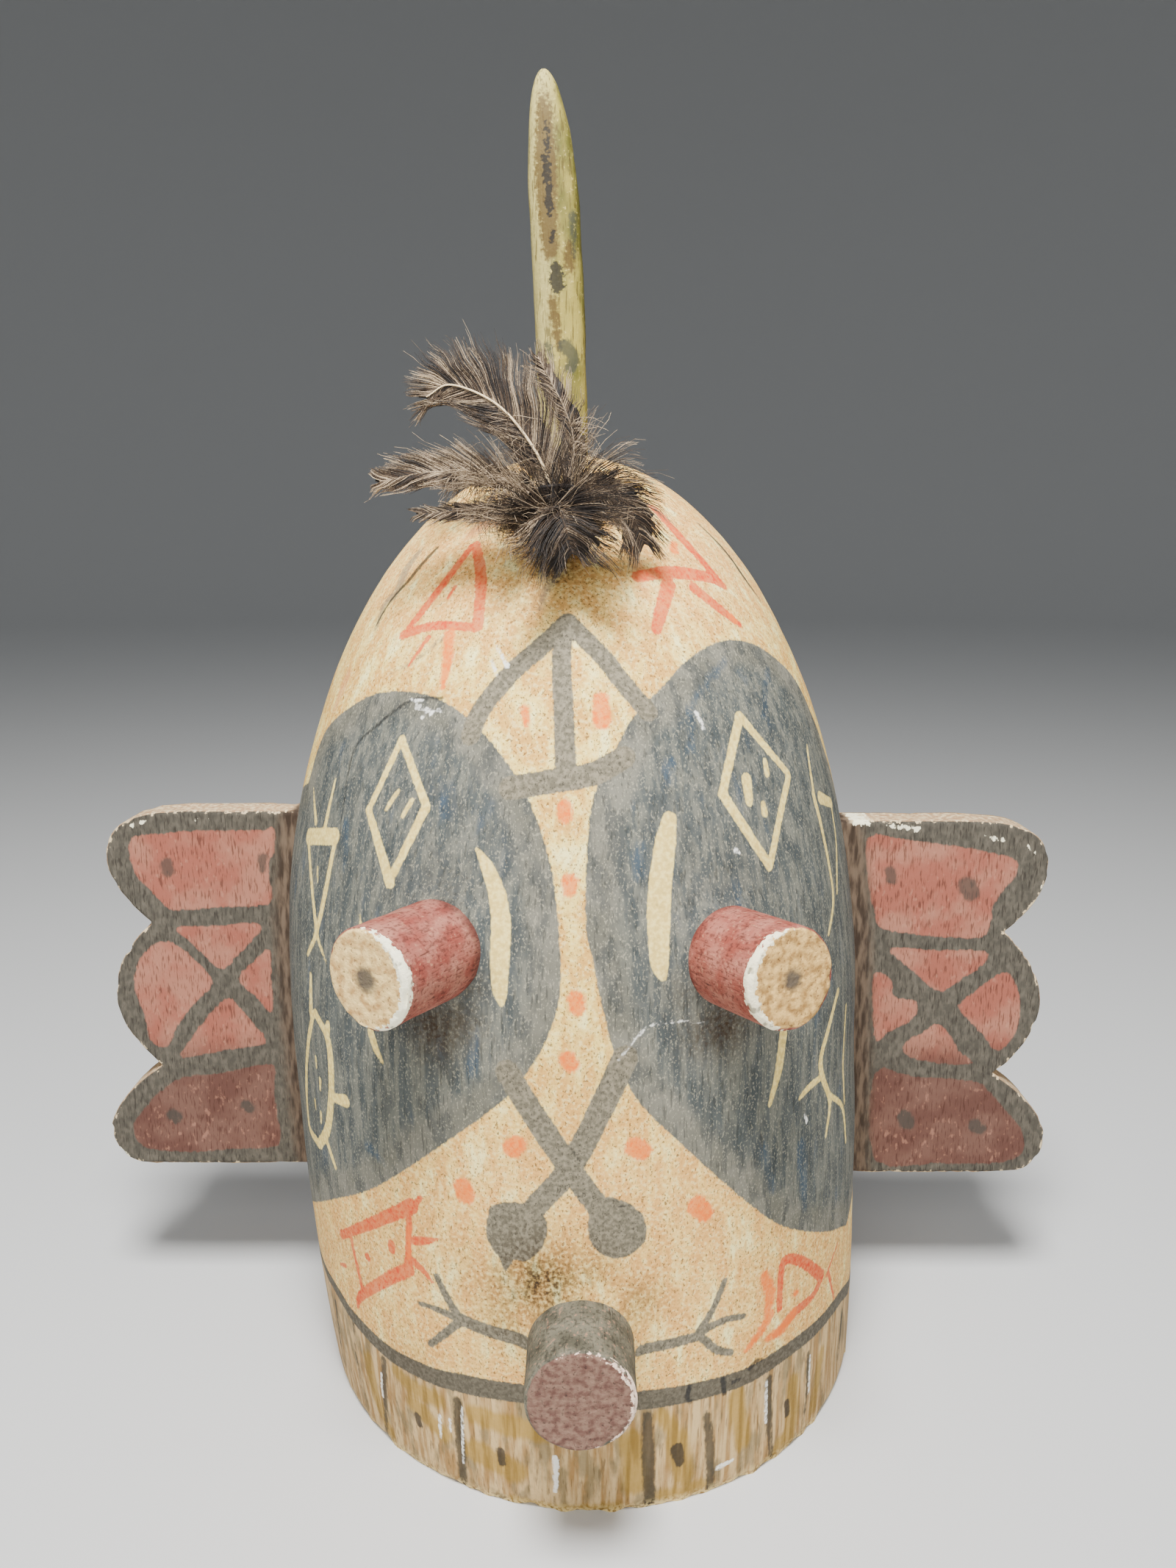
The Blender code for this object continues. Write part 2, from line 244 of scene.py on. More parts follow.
blueStrokes = [
    ([(941, 965), (938, 1018)], (1.2, 1.6)), ([(1044, 911), (1040, 972)], (1.6, 1.2)),
    ([(914, 1038), (910, 1064)], (1.6, 1.4)), ([(870, 1148), (866, 1194)], (1.4, 1.6)),
    ([(1090, 1560), (1096, 1640)], (3.0, 2.0)), ([(1040, 1560), (1050, 1620)], (1.6, 1.2)),
    ([(985, 900), (960, 930), (930, 980)], (1.4, 1.0)), ([(1000, 1200), (1004, 1250)], (1.2, 1.6)),
    ([(470, 1120), (468, 1190)], (1.6, 1.0)), ([(600, 1060), (604, 1110)], (1.4, 1.0)),
    ([(650, 1400), (640, 1460)], (1.4, 1.6)), ([(500, 1560), (520, 1580)], (1.8, 1.2)),
]
greyBlobs = [
    [(670, 1640), (700, 1636), (725, 1643), (745, 1664), (737, 1698), (716, 1716), (700, 1714),
     (688, 1729), (678, 1710), (663, 1686), (662, 1660)],
    [(803, 1650), (822, 1628), (852, 1635), (873, 1652), (880, 1676), (872, 1696), (850, 1710),
     (826, 1710), (806, 1694), (800, 1672)],
]
creamStrokes = [
    ([(546, 1005), (580, 1097)], (1.5, 1.6)), ([(580, 1097), (533, 1194)], (1.7, 1.5)),
    ([(531, 1200), (502, 1102)], (2.3, 1.6)), ([(502, 1102), (546, 1005)], (1.3, 1.4)),
    ([(543, 1075), (535, 1086), (526, 1101)], (0.6, 1.0, 0.8)),
    ([(560, 1089), (548, 1110)], (1.0, 0.9)),
    ([(1006, 975), (983, 1078)], (2.0, 1.8)), ([(983, 1080), (1047, 1178)], (2.0, 1.9)),
    ([(1048, 1176), (1073, 1056)], (1.6, 1.6)), ([(1072, 1052), (1008, 976)], (1.4, 1.8)),
    ([(1041, 1035), (1044, 1052)], (1.2, 1.5)), ([(1039, 1094), (1041, 1106)], (1.3, 1.6)),
    ([(1016, 1060), (1020, 1090)], (2.4, 1.9)),
    ([(648, 1154), (662, 1178), (676, 1215), (682, 1255), (681, 1300), (680, 1345),
      (683, 1366)], (0.5, 2.2, 3.0, 3.3, 3.2, 2.6, 1.0)),
    ([(911, 1114), (905, 1150), (898, 1210), (896, 1260), (897, 1310), (902, 1330)],
     (2.6, 3.8, 4.2, 4.0, 3.2, 1.2)),
    ([(504, 1404), (510, 1425), (520, 1446)], (1.7, 1.6, 0.7)),
    ([(1066, 1406), (1060, 1455), (1048, 1503)], (2.2, 2.0, 1.0)),
    ([(490, 1244), (491, 1262)], (0.4, 0.9)),
    ([(427, 1072), (430, 1118)], (0.5, 1.4)), ([(457, 1060), (443, 1122)], (0.6, 1.3)),
    ([(420, 1138), (456, 1138)], (3.2, 3.2)),
    ([(420, 1150), (430, 1262), (444, 1310)], (1.2, 1.2, 0.5)),
    ([(455, 1150), (432, 1262), (419, 1298)], (1.3, 1.5, 0.9)),
    ([(432, 1180), (432, 1200)], (0.7, 0.5)),
    ([(423, 1326), (424, 1378)], (1.2, 1.8)),
    ([(447, 1392), (446, 1408)], (1.3, 1.6)), ([(456, 1494), (470, 1498)], (1.8, 2.6)),
    ([(430, 1378), (447, 1415), (451, 1470), (447, 1530), (436, 1556)], (1.8, 2.0, 2.2, 2.2)),
    ([(427, 1378), (420, 1420), (417, 1470), (421, 1530), (434, 1556)], (1.5, 1.4, 1.6, 2.0)),
    ([(444, 1550), (456, 1588)], (1.4, 1.1)),
    ([(430, 1438), (431, 1452)], (0.9, 0.6)), ([(436, 1468), (436, 1482)], (1.0, 0.7)),
    ([(429, 1496), (430, 1508)], (0.8, 0.6)), ([(437, 1514), (437, 1528)], (1.0, 0.7)),
    ([(1098, 1015), (1107, 1078)], (0.8, 1.1)),
    ([(1107, 1080), (1120, 1135), (1134, 1218), (1127, 1271)], (1.6, 1.2, 1.2, 0.8)),
    ([(1116, 1085), (1131, 1092)], (2.6, 2.0)),
    ([(1131, 1092), (1138, 1150), (1139, 1215)], (0.9, 0.8)),
    ([(1140, 1348), (1127, 1400), (1117, 1440), (1120, 1466), (1130, 1498), (1124, 1546)],
     (1.3, 1.5, 1.6, 1.6, 1.4, 0.8)),
    ([(1117, 1466), (1103, 1478), (1089, 1494)], (1.4, 1.5, 0.9)),
    ([(1130, 1490), (1146, 1506), (1150, 1552)], (1.2, 1.0)),
    ([(1151, 1368), (1148, 1440), (1149, 1500)], (0.8, 0.9)),
]
redStrokes = [
    ([(648, 741), (655, 790), (650, 852)], (1.8, 2.3, 2.2)),
    ([(642, 744), (600, 800), (557, 854)], (1.5, 1.9, 1.6)),
    ([(548, 864), (592, 851), (648, 854)], (1.9, 1.7)),
    ([(583, 867), (556, 905)], (1.1, 0.5)), ([(620, 798), (610, 814)], (0.8, 0.6)),
    ([(888, 690), (930, 735), (984, 796)], (1.8, 2.3, 2.0)),
    ([(868, 784), (909, 778), (960, 784), (984, 796)], (2.4, 3.0, 2.0)),
    ([(910, 795), (900, 830), (893, 856)], (3.0, 2.6, 2.0)),
    ([(945, 800), (975, 825), (1006, 850)], (2.5, 2.3, 1.4)),
    ([(465, 1680), (501, 1666), (539, 1650), (560, 1640)], (1.8, 2.5, 3.0)),
    ([(555, 1648), (565, 1638), (573, 1628)], (1.8, 0.9)),
    ([(557, 1655), (556, 1690), (554, 1722)], (1.4, 1.5)),
    ([(557, 1687), (575, 1688), (597, 1685)], (1.6, 1.8, 0.4)),
    ([(556, 1727), (526, 1741), (491, 1763), (486, 1779)], (2.8, 2.6, 2.0, 0.8)),
    ([(562, 1716), (575, 1728), (588, 1744)], (1.9, 0.8)),
    ([(478, 1684), (484, 1715), (492, 1752)], (1.3, 1.1)),
    ([(470, 1722), (463, 1720)], (1.0, 0.8)), ([(472, 1680), (461, 1671)], (0.9, 0.4)),
    ([(533, 1693), (533, 1700)], (2.0, 1.8)), ([(500, 1709), (501, 1712)], (1.5, 1.4)),
    ([(1060, 1780), (1062, 1740), (1068, 1714), (1091, 1716), (1118, 1736)], (1.6, 1.9, 2.6)),
    ([(1118, 1740), (1105, 1764), (1080, 1786), (1054, 1816)], (1.9, 1.8, 2.2, 1.4)),
    ([(1125, 1735), (1140, 1692)], (1.0, 0.5)), ([(1128, 1733), (1135, 1766)], (1.3, 0.6)),
]
orangeStrokes = [
    ([(612, 862), (608, 900), (602, 934)], (2.3, 2.2, 1.0)),
    ([(917, 741), (918, 749)], (1.8, 1.9)), ([(994, 838), (1000, 845)], (1.6, 1.2)),
    ([(1040, 1736), (1048, 1760), (1044, 1786)], (2.2, 2.9, 2.0)),
    ([(1048, 1788), (1034, 1812), (1016, 1836)], (2.2, 2.0, 1.2)),
    ([(1079, 1786), (1062, 1808), (1044, 1820)], (2.4, 2.8, 1.4)),
    ([(1080, 1760), (1084, 1758)], (1.2, 1.3)), ([(557, 1668), (556, 1712)], (0.8, 0.8)),
    ([(818, 952), (819, 980)], (2.8, 3.2)), ([(714, 965), (716, 985)], (1.6, 1.2)),
    ([(768, 1098), (769, 1112)], (2.6, 2.2)), ([(775, 1200), (775, 1210)], (2.9, 2.6)),
    ([(784, 1360), (786, 1370)], (3.1, 2.8)), ([(773, 1442), (777, 1448)], (3.1, 2.8)),
    ([(698, 1562), (704, 1557)], (3.6, 3.2)), ([(630, 1616), (634, 1626)], (3.9, 3.4)),
    ([(864, 1560), (874, 1566)], (3.6, 3.3)), ([(948, 1640), (960, 1650)], (3.9, 3.4)),
]
darkStrokes = [
    ([(602, 950), (575, 950), (550, 957), (515, 985), (482, 1020), (468, 1095), (456, 1180)],
     (0.5, 0.7, 0.6, 0.4, 0.3)),
    ([(596, 745), (577, 765), (556, 790), (530, 820), (511, 853)], (0.8, 1.3, 0.9, 0.6)),
    ([(950, 713), (985, 748), (1010, 781), (1036, 817)], (0.5, 1.0, 1.2, 0.4)),
    ([(938, 1886), (936, 1900), (940, 1908)], (1.0, 1.1, 0.8)),
    ([(984, 1876), (986, 1896)], (1.2, 1.0)), ([(998, 1880), (1008, 1876)], (0.9, 0.7)),
    ([(1020, 1862), (1028, 1852), (1036, 1850)], (1.0, 0.9)),
    ([(568, 1926), (571, 1938)], (1.9, 1.6)), ([(681, 1974), (683, 1990)], (1.8, 1.6)),
    ([(921, 1972), (925, 1990)], (2.8, 1.8)), ([(1070, 1908), (1071, 1922)], (1.7, 1.7)),
    ([(775, 1562), (790, 1580)], (0.5, 0.3)), ([(842, 1642), (858, 1638)], (0.4, 0.3)),
]
bandStreaks = [
    ([(522, 1850), (524, 1900), (526, 1952)], (1.8, 1.5, 0.9)),
    ([(622, 1905), (626, 1960), (631, 2024)], (1.8, 2.2, 1.8)),
    ([(881, 1925), (882, 1985), (884, 2050)], (1.8, 2.6, 2.2)),
    ([(962, 1925), (966, 1970), (966, 2025)], (1.6, 2.0, 1.8)),
    ([(1046, 1876), (1046, 1930), (1048, 1985)], (1.8, 1.8, 1.2)),
    ([(1100, 1842), (1098, 1890), (1092, 1938)], (1.2, 1.0, 0.6)),
    ([(480, 1800), (486, 1850), (494, 1900)], (0.8, 0.6)),
    ([(456, 1770), (464, 1830)], (1.6, 0.8)), ([(1146, 1786), (1140, 1850)], (1.8, 0.8)),
]
ochreStrokes = [
    ([(540, 1866), (560, 1885), (592, 1902)], (3.4, 4.2)),
    ([(502, 1850), (512, 1900), (532, 1950)], (3.6, 4.0, 3.0)),
    ([(566, 1912), (604, 1950)], (4.6, 4.0)), ([(650, 1975), (700, 2002)], (5.6, 5.0)),
    ([(856, 1960), (866, 2020)], (4.6, 5.0)), ([(922, 1960), (930, 2008)], (5.0, 4.0)),
    ([(1002, 1900), (1010, 1960)], (4.4, 4.0)), ([(1062, 1960), (1040, 2000)], (3.4, 3.0)),
    ([(648, 1925), (690, 1940), (735, 1948)], (4.6, 5.0)),
    ([(900, 2035), (925, 2030), (955, 2020)], (3.0, 3.0)),
    ([(1080, 1880), (1078, 1920), (1072, 1960)], (4.0, 4.0)),
    ([(1118, 1840), (1112, 1880), (1106, 1915)], (3.0, 3.0)),
    ([(900, 1925), (915, 1945)], (3.0, 3.0)), ([(700, 2040), (760, 2052), (840, 2050)], (2.0, 2.0)),
]
smearStrokes = [
    ([(570, 752), (552, 776), (540, 806), (524, 822), (512, 856)], (2.0, 3.4, 2.6, 2.2, 0.8)),
    ([(950, 713), (985, 748), (1010, 781), (1036, 817)], (0.8, 1.4, 1.6, 0.6)),
    ([(768, 774), (745, 800), (735, 830)], (1.0, 1.4, 0.4)),
    ([(612, 858), (566, 898), (530, 915)], (0.4, 0.3)),
]
pinkStrokes = [
    ([(474, 918), (466, 938), (456, 962)], (2.6, 3.4, 2.4)),
    ([(1080, 894), (1090, 918), (1098, 944)], (2.0, 2.8, 2.0)),
    ([(858, 738), (868, 768), (874, 798)], (1.8, 2.6, 1.6)),
    ([(700, 700), (660, 712), (640, 728)], (3.0, 3.4, 2.0)),
    ([(450, 990), (436, 1030)], (1.8, 2.2)),
]
# White chips and flecks, a stray hair, and painted glints at the top of the left eye patch
whiteChipsAndGlints = [
    ([(556, 952), (574, 953)], (0.5, 0.7)), ([(580, 964), (586, 972)], (0.6, 0.6)),
    ([(596, 966), (602, 970)], (0.6, 0.4)), ([(571, 976), (578, 974)], (0.5, 0.5)),
    ([(841, 1443), (876, 1401), (914, 1390), (968, 1392)], (0.25, 0.25, 0.2)),
    ([(1000, 1156), (1006, 1161)], (0.8, 0.6)),
    ([(676, 880), (690, 906)], (0.5, 0.7)), ([(668, 900), (676, 918)], (0.4, 0.5)),
    ([(519, 1868), (521, 1900)], (0.5, 0.4)), ([(598, 1925), (600, 1955)], (0.7, 0.5)),
    ([(612, 1930), (614, 1948)], (0.4, 0.4)), ([(628, 1916), (630, 1990)], (0.6, 0.5)),
    ([(756, 1985), (756, 2028)], (1.1, 0.7)), ([(1043, 1880), (1042, 1935)], (0.6, 0.7)),
    ([(1103, 1845), (1100, 1895)], (0.5, 0.6)), ([(976, 1997), (996, 1986)], (1.0, 0.6)),
    ([(948, 970), (956, 990)], (0.8, 0.7)), ([(566, 962), (590, 968)], (0.7, 0.5)),
    ([(1096, 1516), (1098, 1526)], (0.6, 0.6)),
]


def strokeLayer(points, strokes):
    # distance from points to the nearest of the strokes cast on the shell
    found = np.full(len(points), farAway)
    for pixels, halves in strokes:
        path = onShell(curveThrough(pixels, 5 if len(pixels) > 2 else 3))
        found = np.minimum(found, strokeDistance(points, path, [half * mm for half in halves]))
    return found


def planeLayer(points, strokes, y):
    # the same for strokes on a flat face that looks to the front
    found = np.full(len(points), farAway)
    for pixels, halves in strokes:
        path = onPlane(curveThrough(pixels, 4), y)
        found = np.minimum(found, strokeDistance(points, path, [half * mm for half in halves]))
    return found


def patchLayer(points):
    flat = girthOf(points)
    found = np.full(len(points), farAway)
    for patch in eyePatches.values():
        seen = onShell(curveThrough(patch["edge"], 4))
        # rounded on round the side, out of the photograph's sight
        (_, high), (_, low) = girthOf(seen[[0, -1]])
        turns = [patch["side"] * math.radians(turn) for turn in (76, 84, 87, 84, 76)]
        heights = [low + (high - low) * share for share in (0.03, 0.2, 0.5, 0.8, 0.97)]
        hidden = curveThrough(list(zip(turns, heights)), 5)
        outline = np.vstack([seen, onForm(hidden[:, 0], hidden[:, 1])])
        found = np.minimum(found, areaDistance(points, flat, outline, girthOf(outline)))
    return found


def footLineEnds(points):
    # the foot line goes on level round both sides
    found = np.full(len(points), farAway)
    ends = girthOf(onShell(footLine[0])[[0, -1]])
    for turn, height in ends:
        turns = np.linspace(turn, math.copysign(math.radians(89), turn), 8)
        path = onForm(turns, np.full(8, height))
        found = np.minimum(found, strokeDistance(points, path, [2.8 * mm, 2.4 * mm]))
    return found


def blobLayer(points, blobs):
    flat = girthOf(points)
    found = np.full(len(points), farAway)
    for pixels in blobs:
        outline = onShell(curveThrough(pixels, 4, closed=True))
        found = np.minimum(found, areaDistance(points, flat, outline, girthOf(outline)))
    return found


def bandLayer(points):
    # above zero over the painted foot band, which lies under the grey foot line
    line = onShell(curveThrough(footLine[0], 4))
    flat, level = girthOf(points), girthOf(line)
    order = np.argsort(level[:, 0])
    return flat[:, 1] - np.interp(flat[:, 0], level[order, 0], level[order, 1])


# Colour nodes

def addNode(tree, kind, inputs=None, **settings):
    added = tree.nodes.new(kind)
    for name, value in settings.items():
        setattr(added, name, value)
    for name, value in (inputs or {}).items():
        if isinstance(value, bpy.types.NodeSocket):
            tree.links.new(value, added.inputs[name])
        else:
            added.inputs[name].default_value = value
    return added


def startMaterial(name, roughness, specular=0.3):
    material = bpy.data.materials.new(name)
    material.use_nodes = True
    tree = material.node_tree
    shader = tree.nodes["Principled BSDF"]
    shader.inputs["Roughness"].default_value = roughness
    shader.inputs["Specular IOR Level"].default_value = specular
    return material, tree, shader


def objectNoise(tree, size, detail=3.0, stretch=(1.0, 1.0, 1.0), shift=0.0):
    # a noise whose features are about size metres across, longer along a stretched axis
    coords = addNode(tree, "ShaderNodeTexCoord")
    scale = [1.0 / (size * s) for s in stretch]
    mapped = addNode(tree, "ShaderNodeMapping", {"Vector": coords.outputs["Object"],
                                                 "Scale": scale,
                                                 "Location": (shift, shift * 0.7, shift * 1.3)})
    texture = addNode(tree, "ShaderNodeTexNoise", {"Vector": mapped.outputs["Vector"],
                                                   "Scale": 1.0, "Detail": detail})
    return texture.outputs["Fac"]


def ramp(tree, value, low, high, first=0.0, last=1.0):
    node = addNode(tree, "ShaderNodeMapRange", {"Value": value, "From Min": low,
                                                "From Max": high, "To Min": first,
                                                "To Max": last}, interpolation_type="SMOOTHSTEP")
    return node.outputs["Result"]


def combine(tree, kind, first, second):
    return addNode(tree, "ShaderNodeMath", {0: first, 1: second}, operation=kind).outputs[0]


def mixColour(tree, amount, under, over, kind="MIX"):
    node = addNode(tree, "ShaderNodeMix", {0: amount, 6: under, 7: over}, data_type="RGBA",
                   blend_type=kind)
    return node.outputs[2]


def readAttribute(tree, name):
    return addNode(tree, "ShaderNodeAttribute", attribute_name=name).outputs["Fac"]


def readPlace(tree, axis):
    place = addNode(tree, "ShaderNodeTexCoord").outputs["Object"]
    return addNode(tree, "ShaderNodeSeparateXYZ", {"Vector": place}).outputs[axis]


def layerMask(tree, attribute, edge, soft=0.35, spread=1.4, reach=0.0, cover=1.0):
    # how far the painted layer covers, from its distance in millimetres
    ragged = combine(tree, "MULTIPLY", combine(tree, "SUBTRACT", edge, 0.5), spread)
    gap = combine(tree, "ADD", readAttribute(tree, attribute), ragged)
    return ramp(tree, gap, reach + soft, reach - soft, 0.0, cover)


def addBump(tree, shader, height, strength, distance):
    bump = addNode(tree, "ShaderNodeBump", {"Height": height, "Strength": strength,
                                            "Distance": distance})
    tree.links.new(bump.outputs["Normal"], shader.inputs["Normal"])


def shellPaint():
    material, tree, shader = startMaterial("shellPaint", 0.82, 0.25)
    grain = objectNoise(tree, 0.9 * mm, 4.0, (1.0, 1.0, 9.0))
    streak = objectNoise(tree, 2.6 * mm, 3.0, (1.0, 1.0, 14.0), 5.0)
    cloud = objectNoise(tree, 14 * mm, 4.0)
    fleck = objectNoise(tree, 1.5 * mm, 5.0, shift=9.0)
    edge = objectNoise(tree, 1.1 * mm, 3.0, (1.0, 1.0, 2.2), 3.0)

    # cream ground, brushed, mottled and scratched along the grain; warmer tan above and below is painted
    # shade
    brushed = objectNoise(tree, 6 * mm, 5.0, (1.0, 1.0, 2.6), 11.0)
    speck = objectNoise(tree, 0.7 * mm, 3.0, (1.0, 1.0, 1.5), 15.0)
    ground = mixColour(tree, ramp(tree, brushed, 0.40, 0.60), paint(242, 212, 120),
                       paint(220, 170, 86))
    height = readPlace(tree, "Z")
    # painted shade: tan towards the top of the dome and towards the foot
    tanShadeAboveAndBelow = combine(tree, "ADD", ramp(tree, height, 0.20, 0.12, 0.0, 0.42),
                     ramp(tree, height, 0.295, 0.345, 0.0, 0.50))
    ground = mixColour(tree, tanShadeAboveAndBelow, ground, paint(240, 178, 106))
    ground = mixColour(tree, ramp(tree, fleck, 0.50, 0.64, 0.0, 0.45), ground,
                       paint(255, 240, 168))
    ground = mixColour(tree, ramp(tree, brushed, 0.42, 0.30, 0.0, 0.75), ground,
                       paint(255, 244, 172))
    ground = mixColour(tree, ramp(tree, fleck, 0.47, 0.36, 0.0, 0.42), ground,
                       paint(190, 138, 74))
    ground = mixColour(tree, ramp(tree, speck, 0.43, 0.33, 0.0, 0.80), ground,
                       paint(98, 68, 36))

    # soft smears of grey and faded pink
    pink = layerMask(tree, "pinkTinges", cloud, 2.5, 4.0, cover=0.55)
    ground = mixColour(tree, pink, ground, paint(204, 124, 84))
    smear = layerMask(tree, "smears", fleck, 1.2, 4.0, cover=0.6)
    ground = mixColour(tree, smear, ground, paint(116, 112, 102))

    # the foot band: dusty brown, ochre panels, upright streaks
    bandTone = mixColour(tree, ramp(tree, streak, 0.36, 0.62), paint(160, 124, 74),
                         paint(207, 176, 126))
    bandTone = mixColour(tree, ramp(tree, brushed, 0.50, 0.64, 0.0, 0.65), bandTone,
                         paint(116, 104, 74))
    bandTone = mixColour(tree, ramp(tree, grain, 0.44, 0.32, 0.0, 0.55), bandTone,
                         paint(82, 66, 44))
    ochre = mixColour(tree, ramp(tree, streak, 0.35, 0.6), paint(138, 108, 45),
                      paint(176, 142, 72))
    ochreMask = layerMask(tree, "ochrePaint", streak, 1.6, 5.0, cover=0.9)
    bandTone = mixColour(tree, ochreMask, bandTone, ochre)
    streakMask = layerMask(tree, "bandStreak", edge, 0.7, 2.2, cover=0.85)
    bandTone = mixColour(tree, streakMask, bandTone, paint(58, 54, 44))
    colour = mixColour(tree, layerMask(tree, "footBand", edge), ground, bandTone)

    # red and orange figures, thin paint that lets the ground through
    thin = ramp(tree, fleck, 0.34, 0.50, 1.0, 0.80)
    red = mixColour(tree, ramp(tree, cloud, 0.4, 0.6), paint(212, 68, 36), paint(216, 92, 50))
    redMask = combine(tree, "MULTIPLY", layerMask(tree, "redPaint", edge), thin)
    colour = mixColour(tree, redMask, colour, red)
    orangeMask = combine(tree, "MULTIPLY", layerMask(tree, "orangePaint", edge, 0.8, 2.6), thin)
    colour = mixColour(tree, orangeMask, colour, paint(242, 116, 36))

    # blue-grey eye patches inside a broad warm grey edge
    blue = mixColour(tree, ramp(tree, streak, 0.40, 0.60), paint(64, 73, 75),
                     paint(108, 109, 99))
    blue = mixColour(tree, ramp(tree, objectNoise(tree, 9 * mm, 2.0, (1, 1, 4), 21.0),
                                0.60, 0.72, 0.0, 0.55), blue, paint(40, 66, 90))
    warmGrey = mixColour(tree, ramp(tree, cloud, 0.36, 0.64), paint(102, 100, 88),
                         paint(122, 119, 106))
    patchMask = layerMask(tree, "patchPaint", edge)
    fill = layerMask(tree, "patchPaint", cloud, 3.5, 9.0, -10.5, cover=0.75)
    patchTone = mixColour(tree, fill, warmGrey, blue)
    blueMask = layerMask(tree, "bluePaint", streak, 1.4, 5.0, cover=0.5)
    patchTone = mixColour(tree, blueMask, patchTone, paint(46, 72, 94))
    patchTone = mixColour(tree, ramp(tree, brushed, 0.52, 0.38, 0.0, 0.55), patchTone,
                          paint(54, 60, 62))
    patchTone = mixColour(tree, ramp(tree, speck, 0.54, 0.66, 0.0, 0.45), patchTone,
                          paint(176, 170, 146))
    patchTone = mixColour(tree, ramp(tree, grain, 0.46, 0.32, 0.0, 0.55), patchTone,
                          paint(42, 44, 42))
    greyTone = mixColour(tree, ramp(tree, fleck, 0.36, 0.66), paint(102, 96, 80),
                         paint(137, 128, 107))
    greyTone = mixColour(tree, ramp(tree, speck, 0.44, 0.32, 0.0, 0.7), greyTone,
                         paint(56, 52, 44))
    belowLine = combine(tree, "ABSOLUTE", readAttribute(tree, "footBand"), 0.0)
    greyTone = mixColour(tree, ramp(tree, belowLine, 6.0, 3.5, 0.0, 0.6), greyTone,
                         paint(66, 60, 50))
    colour = mixColour(tree, patchMask, colour, patchTone)
    colour = mixColour(tree, layerMask(tree, "greyPaint", edge), colour, greyTone)

    # dark lines, dabs and cream strokes on top
    darkMask = layerMask(tree, "darkPaint", edge, 0.5, 1.6, cover=0.85)
    colour = mixColour(tree, darkMask, colour, paint(34, 34, 34))
    creamMask = combine(tree, "MULTIPLY", layerMask(tree, "creamPaint", edge, 0.3, 1.0),
                        ramp(tree, fleck, 0.22, 0.42, 0.7, 1.0))
    cream = mixColour(tree, ramp(tree, fleck, 0.4, 0.65), paint(222, 194, 112),
                      paint(244, 222, 140))
    colour = mixColour(tree, creamMask, colour, cream)
    # white chips and flecks, with painted glints at the top of the left eye patch
    whiteFleckAndGlintMask = layerMask(tree, "whiteFlecksAndGlints", fleck, 0.4, 2.4, cover=0.9)
    colour = mixColour(tree, whiteFleckAndGlintMask, colour, paint(248, 246, 236))

    # stains, painted shadow under the pegs and the feathers, painted shade by the ear roots, and worn
    # pale edges
    patchy = combine(tree, "MULTIPLY", readAttribute(tree, "dirtAndShade"),
                     ramp(tree, fleck, 0.66, 0.34, 0.55, 1.2))
    colour = mixColour(tree, patchy, colour, paint(58, 44, 28))
    worn = combine(tree, "MULTIPLY", readAttribute(tree, "wear"), ramp(tree, fleck, 0.42, 0.56))
    colour = mixColour(tree, worn, colour, paint(232, 206, 140))
    tree.links.new(colour, shader.inputs["Base Color"])
    relief = combine(tree, "ADD", combine(tree, "MULTIPLY", grain, 0.6), fleck)
    addBump(tree, shader, relief, 0.55, 0.25 * mm)
    tree.links.new(ramp(tree, fleck, 0.3, 0.7, 0.92, 0.70), shader.inputs["Roughness"])
    return material


def bareWood():
    material, tree, shader = startMaterial("bareWood", 0.85, 0.2)
    grain = objectNoise(tree, 1.1 * mm, 4.0, (1.0, 1.0, 22.0), 2.0)
    band = objectNoise(tree, 7 * mm, 3.0, (1.0, 1.0, 10.0), 4.0)
    fleck = objectNoise(tree, 2.0 * mm, 4.0, shift=7.0)
    colour = mixColour(tree, ramp(tree, band, 0.34, 0.66), paint(158, 112, 62),
                       paint(192, 146, 88))
    colour = mixColour(tree, ramp(tree, grain, 0.45, 0.28, 0.0, 0.7), colour,
                       paint(82, 52, 28))
    colour = mixColour(tree, ramp(tree, fleck, 0.58, 0.74, 0.0, 0.5), colour,
                       paint(212, 172, 112))
    colour = mixColour(tree, readAttribute(tree, "dirtAndShade"), colour, paint(70, 48, 28))
    tree.links.new(colour, shader.inputs["Base Color"])
    addBump(tree, shader, combine(tree, "ADD", grain, fleck), 0.6, 0.35 * mm)
    return material


# Pieces that start as a flat grid and are wrapped into shape

def gridShares(bm, columns, rows):
    # a grid from nought to one each way, and where its corners lie
    bmesh.ops.create_grid(bm, x_segments=columns, y_segments=rows, size=0.5,
                          matrix=Matrix.Translation((0.5, 0.5, 0.0)))
    return np.array([v.co[:2] for v in bm.verts])


def movePoints(bm, points):
    for v, point in zip(bm.verts, points):
        v.co = point


def finishPiece(name, bm, materials, sharp=50):
    bmesh.ops.recalc_face_normals(bm, faces=bm.faces[:])
    mesh = bpy.data.meshes.new(name)
    bm.to_mesh(mesh)
    bm.free()
    for material in materials:
        mesh.materials.append(material)
    mesh.shade_smooth()
    mesh.set_sharp_from_angle(angle=math.radians(sharp))
    piece = bpy.data.objects.new(name, mesh)
    bpy.context.collection.objects.link(piece)
    print(name + ":", len(mesh.polygons), "faces")
    return piece


def meshPoints(mesh):
    points = np.empty(len(mesh.vertices) * 3, np.float32)
    mesh.vertices.foreach_get("co", points)
    return points.reshape(-1, 3).astype(float)


# Shell mesh

